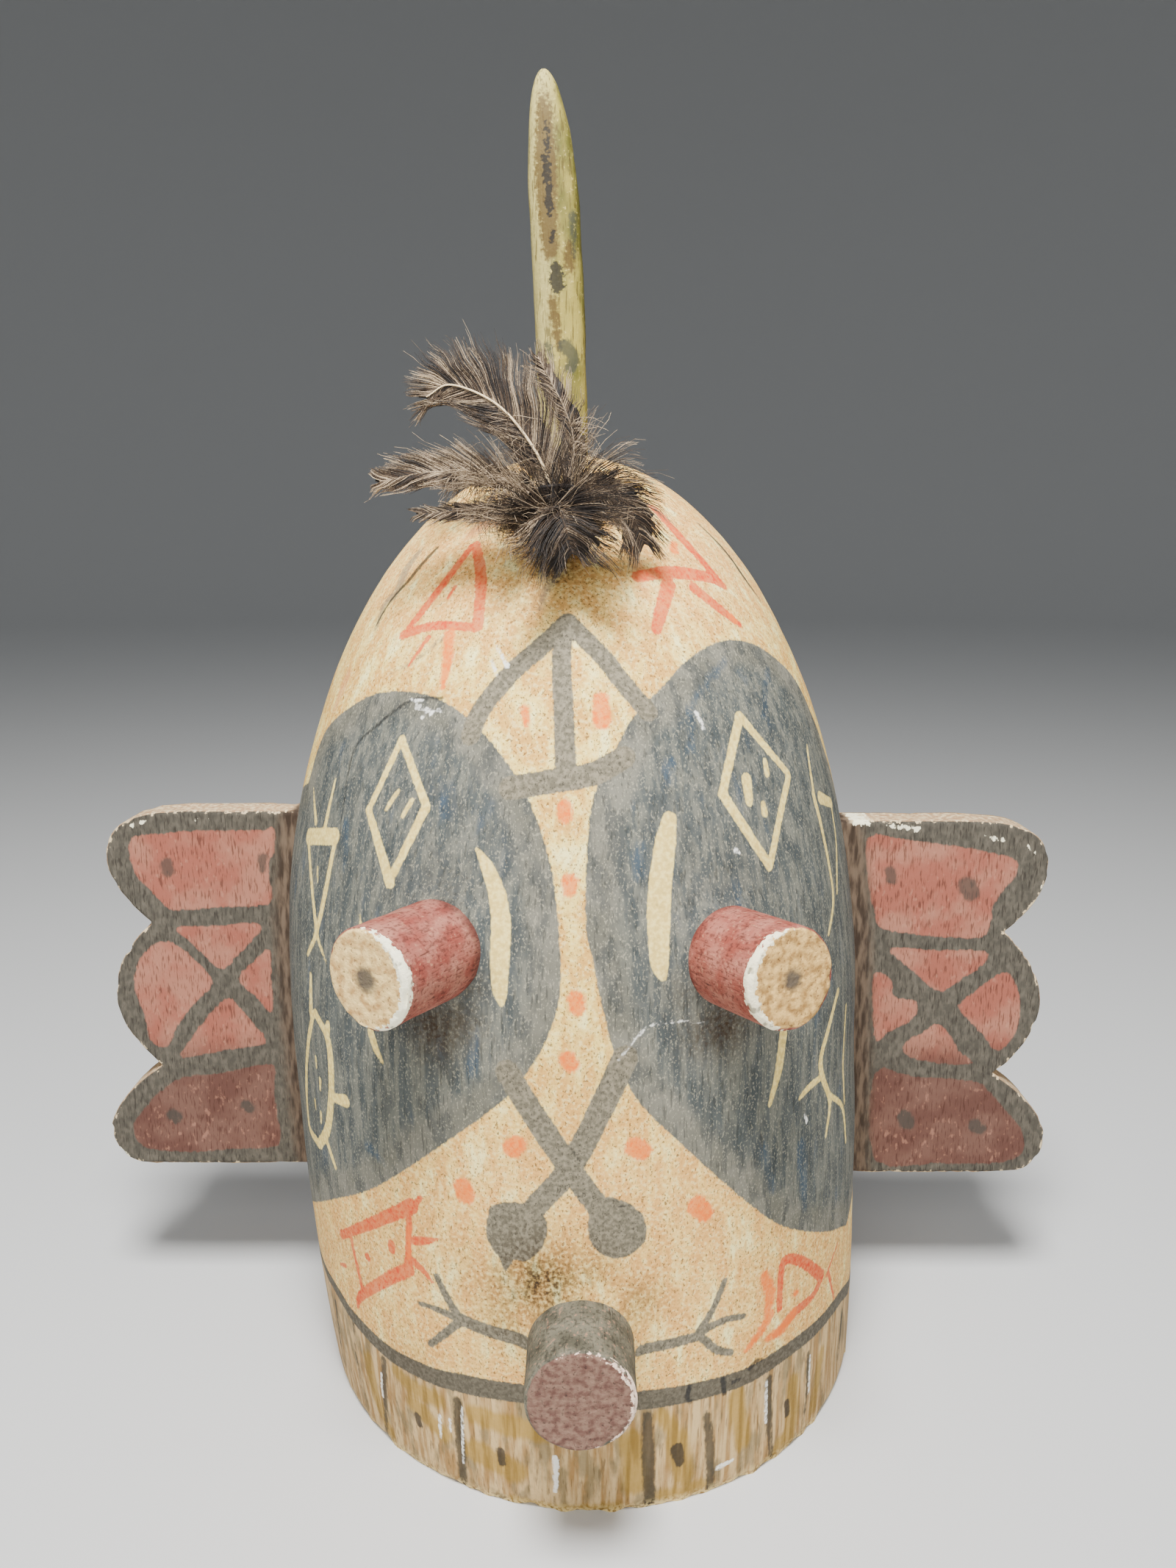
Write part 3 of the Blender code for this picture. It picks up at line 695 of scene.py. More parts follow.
shellLook = {
    "columns": 208, "rows": 200, "refineWithin": 2.2 * mm,
    "unevenness": 0.45 * mm, "unevenSize": 38 * mm, "collarHeight": 2.2 * mm,
    "collarReach": 3.2 * mm, "gougeWidth": 15 * mm, "gougeLength": 46 * mm,
    "gougeDepth": 1.3 * mm, "footWear": 1.6 * mm, "earSpan": (0.062, 0.236),
    "earRidge": 1.4 * mm, "earRootShadeSpan": (0.060, 0.240),
}
crackLine = [(625, 1908), (624, 1960), (629, 2026)]
pegPlaces = {
    "left_eye_peg": {"around": -21.7, "height": 0.215, "turn": -34.6, "tilt": -1.0,
                     "radius": 0.0175, "length": 0.0333},
    "right_eye_peg": {"around": 27.8, "height": 0.211, "turn": 30.0, "tilt": 4.3,
                      "radius": 0.0175, "length": 0.0345},
    "snout_peg": {"around": 0.0, "height": 0.0740, "turn": 0.0, "tilt": 0.0,
                  "radius": 0.0190, "length": 0.0299},
}


def pegAxis(place):
    around, turn, tilt = (math.radians(place[key]) for key in ("around", "turn", "tilt"))
    ahead = np.array([math.sin(turn) * math.cos(tilt), -math.cos(turn) * math.cos(tilt),
                      math.sin(tilt)])
    return onForm(around, place["height"]), ahead


def wrapShell(flat, inset, back):
    # carries flat (girth, share of the rise) points onto the carved form
    form = shellForm
    halfWidth, depth = form["halfWidth"] - inset, form["frontDepth"] - inset
    top = form["height"] - inset
    quarter = math.pi / 4 * (halfWidth + depth)
    straight = form["domeStart"] / (form["domeStart"] + form["domeRun"])
    girth, share = flat[:, 0], flat[:, 1]
    turn = np.clip(girth / quarter, -1.0, 1.0) * math.pi / 2
    rise = np.clip((share - straight) / (1.0 - straight), 0.0, 1.0) * math.pi / 2
    z = np.where(share < straight, share / straight * form["domeStart"],
                 form["domeStart"] + (top - form["domeStart"]) * np.sin(rise))
    below = np.clip((form["bellyHeight"] - z) / form["bellyHeight"], 0.0, None)
    across = (halfWidth - form["footDrawIn"] * below ** 2) * np.cos(rise)
    behind = np.clip(np.abs(girth) - quarter, 0.0, None)
    x = middleAt(z) + across * np.sin(turn)
    y = np.where(behind > 0, axisY + np.minimum(behind, back),
                 axisY - across * depth / halfWidth * np.cos(turn))
    return np.stack([x, y, z], axis=1)


def noiseField(points, size, seed):
    shift = Vector((seed * 7.1, seed * 3.3, seed * 5.7))
    return np.array([noise.noise(Vector(p) / size + shift) for p in points])


def paintLayers(points):
    return {
        "patchPaint": patchLayer(points),
        "greyPaint": np.minimum(strokeLayer(points, greyStrokes),
                                np.minimum(blobLayer(points, greyBlobs), footLineEnds(points))),
        "creamPaint": strokeLayer(points, creamStrokes),
        "redPaint": strokeLayer(points, redStrokes),
        "orangePaint": strokeLayer(points, orangeStrokes),
        "darkPaint": strokeLayer(points, darkStrokes),
        "bandStreak": strokeLayer(points, bandStreaks),
        "ochrePaint": strokeLayer(points, ochreStrokes),
        "whiteFlecksAndGlints": strokeLayer(points, whiteChipsAndGlints),
        "smears": strokeLayer(points, smearStrokes),
        "pinkTinges": strokeLayer(points, pinkStrokes),
        "bluePaint": strokeLayer(points, blueStrokes),
        "footBand": bandLayer(points),
    }


def shellFlat(shares, inset):
    # shares across the shell and up it, as girth in metres and share of the rise
    form = shellForm
    quarter = math.pi / 4 * (form["halfWidth"] + form["frontDepth"] - 2 * inset)
    return np.stack([(shares[:, 0] * 2 - 1) * (quarter + form["skirt"]), shares[:, 1]], axis=1)


def shellRelief(points, normals):
    # how far the worn and hand-worked surface stands off the clean form
    offset = noiseField(points, shellLook["unevenSize"], 1) * shellLook["unevenness"]
    offset += noiseField(points, 9 * mm, 2) * 0.12 * mm
    for place in pegPlaces.values():
        base, ahead = pegAxis(place)
        apart = points - base
        along = apart @ ahead
        aside = np.linalg.norm(apart - along[:, None] * ahead, axis=1) - place["radius"]
        collar = np.exp(-np.clip(aside, 0.0, None) / shellLook["collarReach"])
        offset += np.where(along > -0.03, collar * shellLook["collarHeight"], 0.0)
    earGap = axisY - points[:, 1]
    low, high = shellLook["earSpan"]
    besideEar = (points[:, 2] > low) & (points[:, 2] < high) & (earGap > -2 * mm)
    ridge = np.exp(-np.clip(earGap, 0.0, None) / (3 * mm)) * shellLook["earRidge"]
    offset += np.where(besideEar, ridge, 0.0)
    foot = np.clip(1.0 - points[:, 2] / (4 * mm), 0.0, 1.0)
    ragged = 0.5 + noiseField(points, 6 * mm, 3)
    offset -= foot ** 2 * ragged * shellLook["footWear"]
    crack = strokeDistance(points, onShell(curveThrough(crackLine, 4)), [0.0, 0.0])
    offset -= np.exp(-(crack / (0.8 * mm)) ** 2) * 1.0 * mm
    return points + normals * offset[:, None]


# Stains by the snout and the foot band, stains and painted shadow under the feathers, painted shadow
# right under the eye pegs: pixel, size in millimetres, strength
stainsAndShadows = [
    ((738, 1746), 17, 0.85), ((700, 1752), 15, 0.6), ((690, 1790), 12, 0.45),
    ((865, 1772), 10, 0.5), ((800, 1728), 12, 0.45), ((655, 1735), 14, 0.25),
    ((1040, 1860), 12, 0.25), ((560, 1850), 14, 0.2), ((755, 768), 9, 0.85),
    ((720, 790), 14, 0.3), ((800, 800), 16, 0.25), ((592, 1398), 11, 0.85),
    ((622, 1392), 10, 0.6), ((985, 1392), 11, 0.85), ((960, 1404), 10, 0.6),
    ((610, 1215), 8, 0.25), ((640, 1340), 8, 0.35), ((930, 1350), 8, 0.35),
]


def dirtAndShadeField(points):
    # the stains and painted shadows, painted shade where the ears meet the shell, and darker towards the
    # foot
    dirtAndShade = np.zeros(len(points))
    spots = onShell([pixel for pixel, size, strength in stainsAndShadows])
    for spot, (pixel, size, strength) in zip(spots, stainsAndShadows):
        away = np.linalg.norm(points - spot, axis=1) / (size * mm)
        dirtAndShade = np.maximum(dirtAndShade, strength * np.exp(-away ** 2))
    # painted shade in the seam where the ear boards meet the shell
    earGap = np.abs(axisY - points[:, 1])
    foot, top = shellLook["earRootShadeSpan"]
    beside = (points[:, 2] > foot) & (points[:, 2] < top)
    dirtAndShade = np.maximum(dirtAndShade, np.where(beside, 0.55 * np.exp(-(earGap / (3 * mm)) ** 2), 0.0))
    low = np.clip(1.0 - points[:, 2] / 0.05, 0.0, 1.0)
    return np.clip(dirtAndShade + low * 0.10, 0.0, 1.0)


def setAttributes(mesh, values):
    for name, value in values.items():
        attribute = mesh.attributes.new(name, "FLOAT", "POINT")
        attribute.data.foreach_set("value", np.asarray(value, np.float32))


def formNormals(flat, inset, back):
    # outward direction of the clean form, from two small steps along it
    near = np.stack([flat[:, 0], np.minimum(flat[:, 1], 0.996)], axis=1)
    aside = np.array([[1e-4, 0.0]])
    above = np.array([[0.0, 1e-3]])
    side = wrapShell(near + aside, inset, back) - wrapShell(near - aside, inset, back)
    rise = wrapShell(near + above, inset, back) - wrapShell(near - above, inset, back)
    out = np.cross(side, rise)
    out[flat[:, 1] > 0.9995] = (0.0, 0.0, 1.0)
    return out / np.linalg.norm(out, axis=1)[:, None]


def outerPlaces(shares):
    flat = shellFlat(shares, 0.0)
    clean = wrapShell(flat, 0.0, shellForm["skirt"])
    placed = shellRelief(clean, formNormals(flat, 0.0, shellForm["skirt"]))
    placed[:, 1] = np.minimum(placed[:, 1], axisY + shellForm["skirt"])
    placed[:, 2] = np.maximum(placed[:, 2], 0.0)
    return clean, placed


def hollowPlaces(shares):
    # the hollow, worked with a gouge
    form, look = shellForm, shellLook
    flat = shellFlat(shares, form["wall"])
    inner = wrapShell(flat, form["wall"], form["skirt"])
    out = formNormals(flat, form["wall"], form["skirt"])
    row = np.floor(inner[:, 2] / look["gougeLength"])
    across = flat[:, 0] / look["gougeWidth"] + 0.37 * row + noiseField(inner, 30 * mm, 4)
    along = inner[:, 2] / look["gougeLength"] - row
    scoop = np.cos(math.pi * (across - np.round(across))) * np.sin(math.pi * along) ** 0.6
    edgeFade = np.clip((form["skirt"] + axisY - inner[:, 1]) / (8 * mm), 0.0, 1.0)
    edgeFade *= np.clip(inner[:, 2] / (8 * mm), 0.0, 1.0)
    edgeFade *= np.clip((0.985 - shares[:, 1]) / 0.03, 0.0, 1.0)
    return inner + out * (scoop * look["gougeDepth"] * edgeFade)[:, None]


def addPart(shell, part, placed, values, finishIndex):
    # joins a shaped part and its paint to the shell
    movePoints(part, placed)
    mesh = bpy.data.meshes.new("part")
    part.to_mesh(mesh)
    part.free()
    mesh.polygons.foreach_set("material_index", [finishIndex] * len(mesh.polygons))
    setAttributes(mesh, values)
    shell.from_mesh(mesh)
    bpy.data.meshes.remove(mesh)


def shellValues(clean):
    values = {name: np.clip(layer / mm, -40, 40) for name, layer in paintLayers(clean).items()}
    values["dirtAndShade"] = dirtAndShadeField(clean)
    values["wear"] = np.exp(-(clean[:, 2] / (2.2 * mm)) ** 2)
    return values


def makeShell():
    look = shellLook
    columns, rows = look["columns"], look["rows"]
    shell = bmesh.new()

    # finer cells along the edges of the painted figures, away from the rims
    sheet = bmesh.new()
    shares = gridShares(sheet, columns, rows)
    layers = paintLayers(wrapShell(shellFlat(shares, 0.0), 0.0, shellForm["skirt"]))
    nearest = np.min([np.abs(layers[name]) for name in
                      ("patchPaint", "greyPaint", "creamPaint", "redPaint", "darkPaint",
                       "whiteFlecksAndGlints", "orangePaint")], axis=0)
    picked = set()
    for face in sheet.faces:
        close = min(nearest[v.index] for v in face.verts) < look["refineWithin"]
        if close and not any(v.is_boundary for v in face.verts):
            picked.update(face.edges)
    bmesh.ops.subdivide_edges(sheet, edges=list(picked), cuts=1, use_grid_fill=True)
    print("shell sheet refined:", len(sheet.faces), "faces")
    clean, placed = outerPlaces(np.array([v.co[:2] for v in sheet.verts]))
    addPart(shell, sheet, placed, shellValues(clean), 0)

    hollow = bmesh.new()
    gridShares(hollow, columns // 2, rows // 2)
    rim = [edge for edge in hollow.edges if edge.is_boundary]
    bmesh.ops.subdivide_edges(hollow, edges=rim, cuts=1)
    shares = np.array([v.co[:2] for v in hollow.verts])
    placed = hollowPlaces(shares)
    addPart(shell, hollow, placed, {"dirtAndShade": np.clip(0.55 - placed[:, 2] * 0.8, 0.0, 1.0)}, 1)

    # the sawn rims, each a strip from the outer face to the hollow
    for rimSide, count in (("foot", columns), ("left", rows), ("right", rows)):
        strip = bmesh.new()
        spread = gridShares(strip, count, 8)
        shares = np.repeat(spread[:, :1], 2, axis=1)
        shares[:, {"foot": 1, "left": 0, "right": 0}[rimSide]] = 1.0 if rimSide == "right" else 0.0
        clean, outer = outerPlaces(shares)
        inner = hollowPlaces(shares)
        through = spread[:, 1:]
        placed = outer + (inner - outer) * through
        uneven = np.clip(0.5 + noiseField(placed, 7 * mm, 12), 0.0, None)
        sunk = np.sin(math.pi * through[:, 0]) * uneven * 0.7 * mm
        sunk *= np.clip(20 * np.minimum(spread[:, 0], 1 - spread[:, 0]), 0.0, 1.0)
        if rimSide == "foot":
            placed[:, 2] += sunk
        else:
            placed[:, 1] -= sunk
        values = shellValues(clean)
        values["dirtAndShade"] = values["dirtAndShade"] * (1 - through[:, 0]) + 0.25
        addPart(shell, strip, placed, values, 1)
    bmesh.ops.remove_doubles(shell, verts=shell.verts[:], dist=0.01 * mm)
    openEdges = sum(1 for e in shell.edges if not e.is_manifold)
    print("shell edges left open:", openEdges)
    return finishPiece("carvedShell", shell, [shellPaint(), bareWood()])


# Ear boards: outlines as reach past the shell's side and height, in metres
earBoard = {
    "thickness": 0.017, "seat": 0.006, "top": 0.235, "foot": 0.067, "upperNotch": 0.184,
    "lowerNotch": 0.116, "notchReach": 0.0675, "topEdge": 0.050, "topLobe": 0.085,
    "middleLobe": 0.086, "lowLobe": 0.093, "footEdge": 0.074, "rimRound": 1.5 * mm,
    "columns": 84, "rows": 150, "rootPlace": 0.09, "crowding": 1.7, "wearFrom": 0.125,
}
earPaintings = {
    "left_ear": {
        "side": -1, "drop": 0.0,
        "red": [
            [(176, 1145), (185, 1138), (222, 1134), (278, 1130), (352, 1130), (372, 1127),
             (372, 1160), (365, 1171), (367, 1200), (365, 1230), (296, 1234), (256, 1238),
             (230, 1236), (215, 1223), (200, 1208), (185, 1190), (176, 1167)],
            [(239, 1262), (296, 1260), (357, 1258), (322, 1300), (302, 1319), (278, 1300),
             (259, 1282)],
            [(215, 1282), (237, 1284), (259, 1300), (287, 1330), (285, 1345), (259, 1371),
             (241, 1397), (226, 1424), (204, 1415), (197, 1382), (185, 1352), (182, 1330),
             (189, 1308), (200, 1293)],
            [(324, 1332), (348, 1306), (367, 1291), (369, 1334), (370, 1378), (348, 1356)],
            [(308, 1358), (322, 1367), (348, 1397), (361, 1419), (308, 1428), (246, 1439),
             (259, 1415), (278, 1389)],
            [(252, 1465), (296, 1461), (370, 1448), (372, 1485), (378, 1522), (378, 1558),
             (315, 1563), (259, 1567), (204, 1563), (185, 1548), (182, 1530), (200, 1504),
             (222, 1482)]],
        "dots": [([(226, 1176), (228, 1184)], (2.9, 2.9)), ([(357, 1166), (357, 1184)], (1.9, 1.7)),
                 ([(235, 1517), (240, 1521)], (3.0, 2.9)), ([(335, 1504), (340, 1508)], (2.6, 2.4)),
                 ([(407, 1549), (410, 1556)], (0.9, 1.0))],
        "chips": [([(176, 1124), (196, 1118)], (0.6, 0.5)), ([(262, 1116), (284, 1115)], (0.6, 0.5)),
                  ([(148, 1190), (150, 1216)], (0.5, 0.7)), ([(160, 1560), (176, 1574)], (0.7, 0.5))]},
    "right_ear": {
        "side": 1, "drop": 0.0045,
        "red": [
            [(1181, 1139), (1231, 1143), (1298, 1151), (1357, 1162), (1383, 1171), (1381, 1193),
             (1364, 1212), (1351, 1234), (1349, 1252), (1336, 1275), (1286, 1275), (1261, 1273),
             (1199, 1263), (1190, 1238), (1183, 1208)],
            [(1212, 1291), (1275, 1293), (1340, 1295), (1338, 1312), (1305, 1334), (1283, 1349),
             (1264, 1341), (1235, 1315)],
            [(1190, 1323), (1212, 1334), (1216, 1356), (1242, 1361), (1249, 1374), (1238, 1389),
             (1209, 1404), (1192, 1417), (1188, 1374)],
            [(1305, 1367), (1327, 1349), (1364, 1323), (1379, 1334), (1388, 1363), (1383, 1404),
             (1357, 1430), (1338, 1408), (1327, 1397), (1312, 1382)],
            [(1273, 1393), (1290, 1404), (1305, 1430), (1323, 1447), (1279, 1447), (1235, 1437),
             (1231, 1419), (1257, 1404)],
            [(1190, 1460), (1242, 1465), (1323, 1471), (1346, 1485), (1372, 1515), (1390, 1537),
             (1392, 1567), (1360, 1582), (1275, 1582), (1190, 1578)]],
        "dots": [([(1211, 1185), (1213, 1197)], (2.4, 2.2)), ([(1316, 1206), (1321, 1214)], (4.2, 4.0)),
                 ([(1231, 1520), (1235, 1528)], (3.5, 3.6)), ([(1326, 1531), (1333, 1536)], (3.0, 2.8))],
        "chips": [([(1161, 1118), (1183, 1119)], (1.6, 1.3)), ([(1211, 1124), (1253, 1128)], (1.5, 1.1)),
                  ([(1338, 1136), (1366, 1144)], (0.8, 1.0)), ([(1398, 1150), (1412, 1166)], (1.0, 0.7)),
                  ([(1420, 1196), (1418, 1214)], (0.8, 0.6))]},
}


def bendBetween(start, corner, end, steps=24):
    share = np.linspace(0.0, 1.0, steps + 1)[:, None]
    start, corner, end = (np.array(p) for p in (start, corner, end))
    return start * (1 - share) ** 2 + corner * 2 * share * (1 - share) + end * share ** 2


def earRim(drop):
    form = earBoard
    topRise = form["top"] - form["upperNotch"]
    lowRise = form["lowerNotch"] - form["foot"]
    middle = (form["upperNotch"] + form["lowerNotch"]) / 2
    middleCorner = 2 * form["middleLobe"] - form["notchReach"]
    upperNotch, lowerNotch = ((form["notchReach"], form[key]) for key in ("upperNotch", "lowerNotch"))
    topTip = (form["topLobe"], form["upperNotch"] + 0.59 * topRise)
    lowTip = (form["lowLobe"], form["foot"] + 0.41 * lowRise)
    rim = np.vstack([
        bendBetween((form["topEdge"], form["top"]), (form["topLobe"], form["top"]), topTip),
        bendBetween(topTip, (form["topLobe"], form["upperNotch"] + 0.30 * topRise), upperNotch)[1:],
        bendBetween(upperNotch, (middleCorner, middle), lowerNotch)[1:],
        bendBetween(lowerNotch, (form["lowLobe"] - 0.1 * lowRise, form["foot"] + 0.73 * lowRise),
                    lowTip)[1:],
        bendBetween(lowTip, (form["lowLobe"], form["foot"]), (form["footEdge"], form["foot"]))[1:]])
    return rim - np.array([0.0, drop])


def rimGaps(points, rimLine):
    gap = np.abs(strokeDistance(points, rimLine, [0.0, 0.0]))
    gap[gap > 0.5] = farAway
    return gap


def makeEar(name, node):
    form, painting = earBoard, earPaintings[node]
    side, drop = painting["side"], painting["drop"]
    rim = earRim(drop)
    foot, top = form["foot"] - drop, form["top"] - drop
    bm = bmesh.new()
    rimLine = np.stack([side * (shellForm["halfWidth"] + rim[:, 0]), np.full(len(rim), axisY),
                        rim[:, 1]], axis=1)
    topRoot, footRoot = rimLine[0].copy(), rimLine[-1].copy()
    topRoot[0] = footRoot[0] = side * form["rootPlace"]
    rimLine = np.vstack([topRoot, rimLine, footRoot])
    for back in (False, True):
        before = len(bm.verts)
        bmesh.ops.create_grid(bm, x_segments=form["columns"], y_segments=form["rows"], size=0.5,
                              matrix=Matrix.Translation((0.5, 0.5, 0.0)))
        bm.verts.ensure_lookup_table()
        added = bm.verts[before:]
        shares = np.array([v.co[:2] for v in added])
        z = foot + shares[:, 1] * (top - foot)
        order = np.argsort(rim[:, 1])
        reach = np.interp(z, rim[order, 1], rim[order, 0])
        root = middleAt(z) + side * (halfWidthAt(z) - form["seat"])
        outer = side * (shellForm["halfWidth"] + reach)
        x = root + (outer - root) * (1 - (1 - shares[:, 0]) ** form["crowding"])
        points = np.stack([x, np.full(len(x), axisY), z], axis=1)
        gap = rimGaps(points, rimLine)
        roundness = form["rimRound"] * (0.75 + 0.7 * noiseField(points, 11 * mm, 5 + back))
        inner = np.clip(roundness - gap, 0.0, None)
        easing = roundness - np.sqrt(np.clip(roundness ** 2 - inner ** 2, 0.0, None))
        uneven = 0.25 * mm * (1 + noiseField(points, 16 * mm, 7)) + easing
        points[:, 1] = axisY + (form["thickness"] - uneven if back else uneven)
        for v, point in zip(added, points):
            v.co = point
    rims = [edge for edge in bm.edges if edge.is_boundary]
    made = bmesh.ops.bridge_loops(bm, edges=rims)
    across = [e for e in made["edges"] if abs(e.verts[0].co.y - e.verts[1].co.y) > 4 * mm]
    bmesh.ops.subdivide_edges(bm, edges=across, cuts=6, use_grid_fill=True)
    bm.verts.index_update()
    points = np.array([v.co for v in bm.verts])
    flat = points.copy()
    flat[:, 1] = axisY
    gap = rimGaps(flat, rimLine)
    worn = np.exp(-(gap / (1.6 * mm)) ** 2) * np.clip(noiseField(points, 5 * mm, 8), 0, 1)
    inwards = np.stack([np.full(len(points), -side * 1.0), np.zeros(len(points)),
                        np.where(points[:, 2] > (foot + top) / 2, -0.6, 0.6)], axis=1)
    nearRoot = np.abs(points[:, 0]) < form["wearFrom"]
    points += inwards * (worn * 1.3 * mm * ~nearRoot)[:, None]
    movePoints(bm, points)
    piece = finishPiece(name, bm, [earPaint()])
    plane = np.stack([flat[:, 0], flat[:, 2]], axis=1)
    red = np.full(len(flat), farAway)
    for pixels in painting["red"]:
        outline = onPlane(curveThrough(pixels, 3, closed=True), axisY)
        red = np.minimum(red, areaDistance(flat, plane, outline, outline[:, [0, 2]]))
    fromShell = np.abs(flat[:, 0] - middleAt(flat[:, 2])) - halfWidthAt(flat[:, 2])
    setAttributes(piece.data, {"redPaint": red / mm,
                               "dots": planeLayer(flat, painting["dots"], axisY) / mm,
                               "chips": planeLayer(flat, painting["chips"], axisY) / mm,
                               "rimGap": gap / mm, "fromShell": fromShell / mm,
                               "depth": (points[:, 1] - axisY) / mm})
    return piece


def earPaint():
    material, tree, shader = startMaterial("earPaint", 0.85, 0.2)
    grain = objectNoise(tree, 0.7 * mm, 4.0, (1.0, 1.0, 7.0), 1.0)
    cloud = objectNoise(tree, 16 * mm, 3.0)
    fleck = objectNoise(tree, 2.0 * mm, 4.0, (1.0, 1.0, 1.8), 6.0)
    edge = objectNoise(tree, 1.6 * mm, 3.0, (1.0, 1.0, 2.0), 2.0)
    grey = mixColour(tree, ramp(tree, fleck, 0.30, 0.78), paint(70, 66, 58),
                     paint(96, 90, 79))
    grey = mixColour(tree, ramp(tree, grain, 0.48, 0.34, 0.0, 0.7), grey, paint(44, 39, 33))
    # the red is lighter above and darker on the lower lobes: painted shade
    height = readPlace(tree, "Z")
    litEarRed = mixColour(tree, ramp(tree, cloud, 0.36, 0.64), paint(146, 86, 70),
                       paint(158, 107, 88))
    shadedEarRed = mixColour(tree, ramp(tree, cloud, 0.36, 0.64), paint(90, 60, 51),
                      paint(106, 76, 65))
    red = mixColour(tree, ramp(tree, height, 0.112, 0.135), shadedEarRed, litEarRed)
    red = mixColour(tree, ramp(tree, grain, 0.48, 0.34, 0.0, 0.65), red, paint(66, 38, 30))
    red = mixColour(tree, ramp(tree, fleck, 0.58, 0.72, 0.0, 0.4), red, paint(176, 126, 104))
    colour = mixColour(tree, layerMask(tree, "redPaint", edge, 0.5, 2.2), grey, red)
    dots = layerMask(tree, "dots", edge, 0.9, 3.2, cover=0.75)
    colour = mixColour(tree, dots, colour, paint(58, 58, 52))
    # a dark wood-toned strip next to the shell, painted shadow where the ear meets it
    band = mixColour(tree, ramp(tree, objectNoise(tree, 2.2 * mm, 4.0, (1, 1, 5), 8.0),
                                0.35, 0.65), paint(52, 40, 31), paint(102, 86, 71))
    ragged = combine(tree, "ADD", readAttribute(tree, "fromShell"),
                     combine(tree, "MULTIPLY", edge, 3.0))
    colour = mixColour(tree, ramp(tree, ragged, 16.0, 9.0, 0.0, 0.92), colour, band)
    # pale worn rim and the sawn edge faces
    rimGap = combine(tree, "SUBTRACT", readAttribute(tree, "rimGap"),
                     combine(tree, "MULTIPLY", ramp(tree, fleck, 0.52, 0.66), 1.1))
    pale = mixColour(tree, ramp(tree, fleck, 0.4, 0.66), paint(169, 136, 102),
                     paint(216, 194, 153))
    wear = combine(tree, "MULTIPLY", ramp(tree, rimGap, 0.6, 0.1, 0.0, 0.95),
                   ramp(tree, ragged, 6.0, 10.0))
    colour = mixColour(tree, wear, colour, pale)
    chips = layerMask(tree, "chips", fleck, 0.3, 6.0, -0.4)
    colour = mixColour(tree, chips, colour, paint(246, 238, 206))
    behind = ramp(tree, readAttribute(tree, "depth"), 14.5, 15.5)
    colour = mixColour(tree, behind, colour, mixColour(tree, ramp(tree, grain, 0.3, 0.6),
                       paint(108, 80, 51), paint(159, 128, 85)))
    tree.links.new(colour, shader.inputs["Base Color"])
    addBump(tree, shader, combine(tree, "ADD", grain, fleck), 0.6, 0.3 * mm)
    return material


# Pegs

pegForm = {
    "columns": 120, "rows": 76, "play": 0.2 * mm, "sunk": 8 * mm, "rimAlong": 1.4 * mm,
    "rimAcross": 1.2 * mm, "chipDepth": 1.5 * mm, "hewn": 0.35 * mm,
}
pegLooks = {
    "left_eye_peg": {"seed": 1, "side": ((132, 64, 54), (166, 110, 94)), "dusk": (62, 32, 27),
                     "end": ((186, 144, 88), (246, 212, 142)), "rim": (252, 246, 214),
                     "heart": 4.4, "chipSide": -1.0, "mottle": 3.4},
    "right_eye_peg": {"seed": 2, "side": ((136, 66, 54), (166, 106, 90)), "dusk": (64, 31, 27),
                      "end": ((152, 114, 62), (226, 184, 112)), "rim": (250, 240, 204),
                      "heart": 3.6, "chipSide": 1.0, "mottle": 3.0},
    "snout_peg": {"seed": 3, "side": ((76, 74, 62), (112, 108, 92)), "dusk": (36, 32, 27),
                  "end": ((92, 62, 54), (132, 104, 88)), "rim": (236, 208, 186),
                  "heart": 0.0, "chipSide": -0.4, "mottle": 2.4},
}


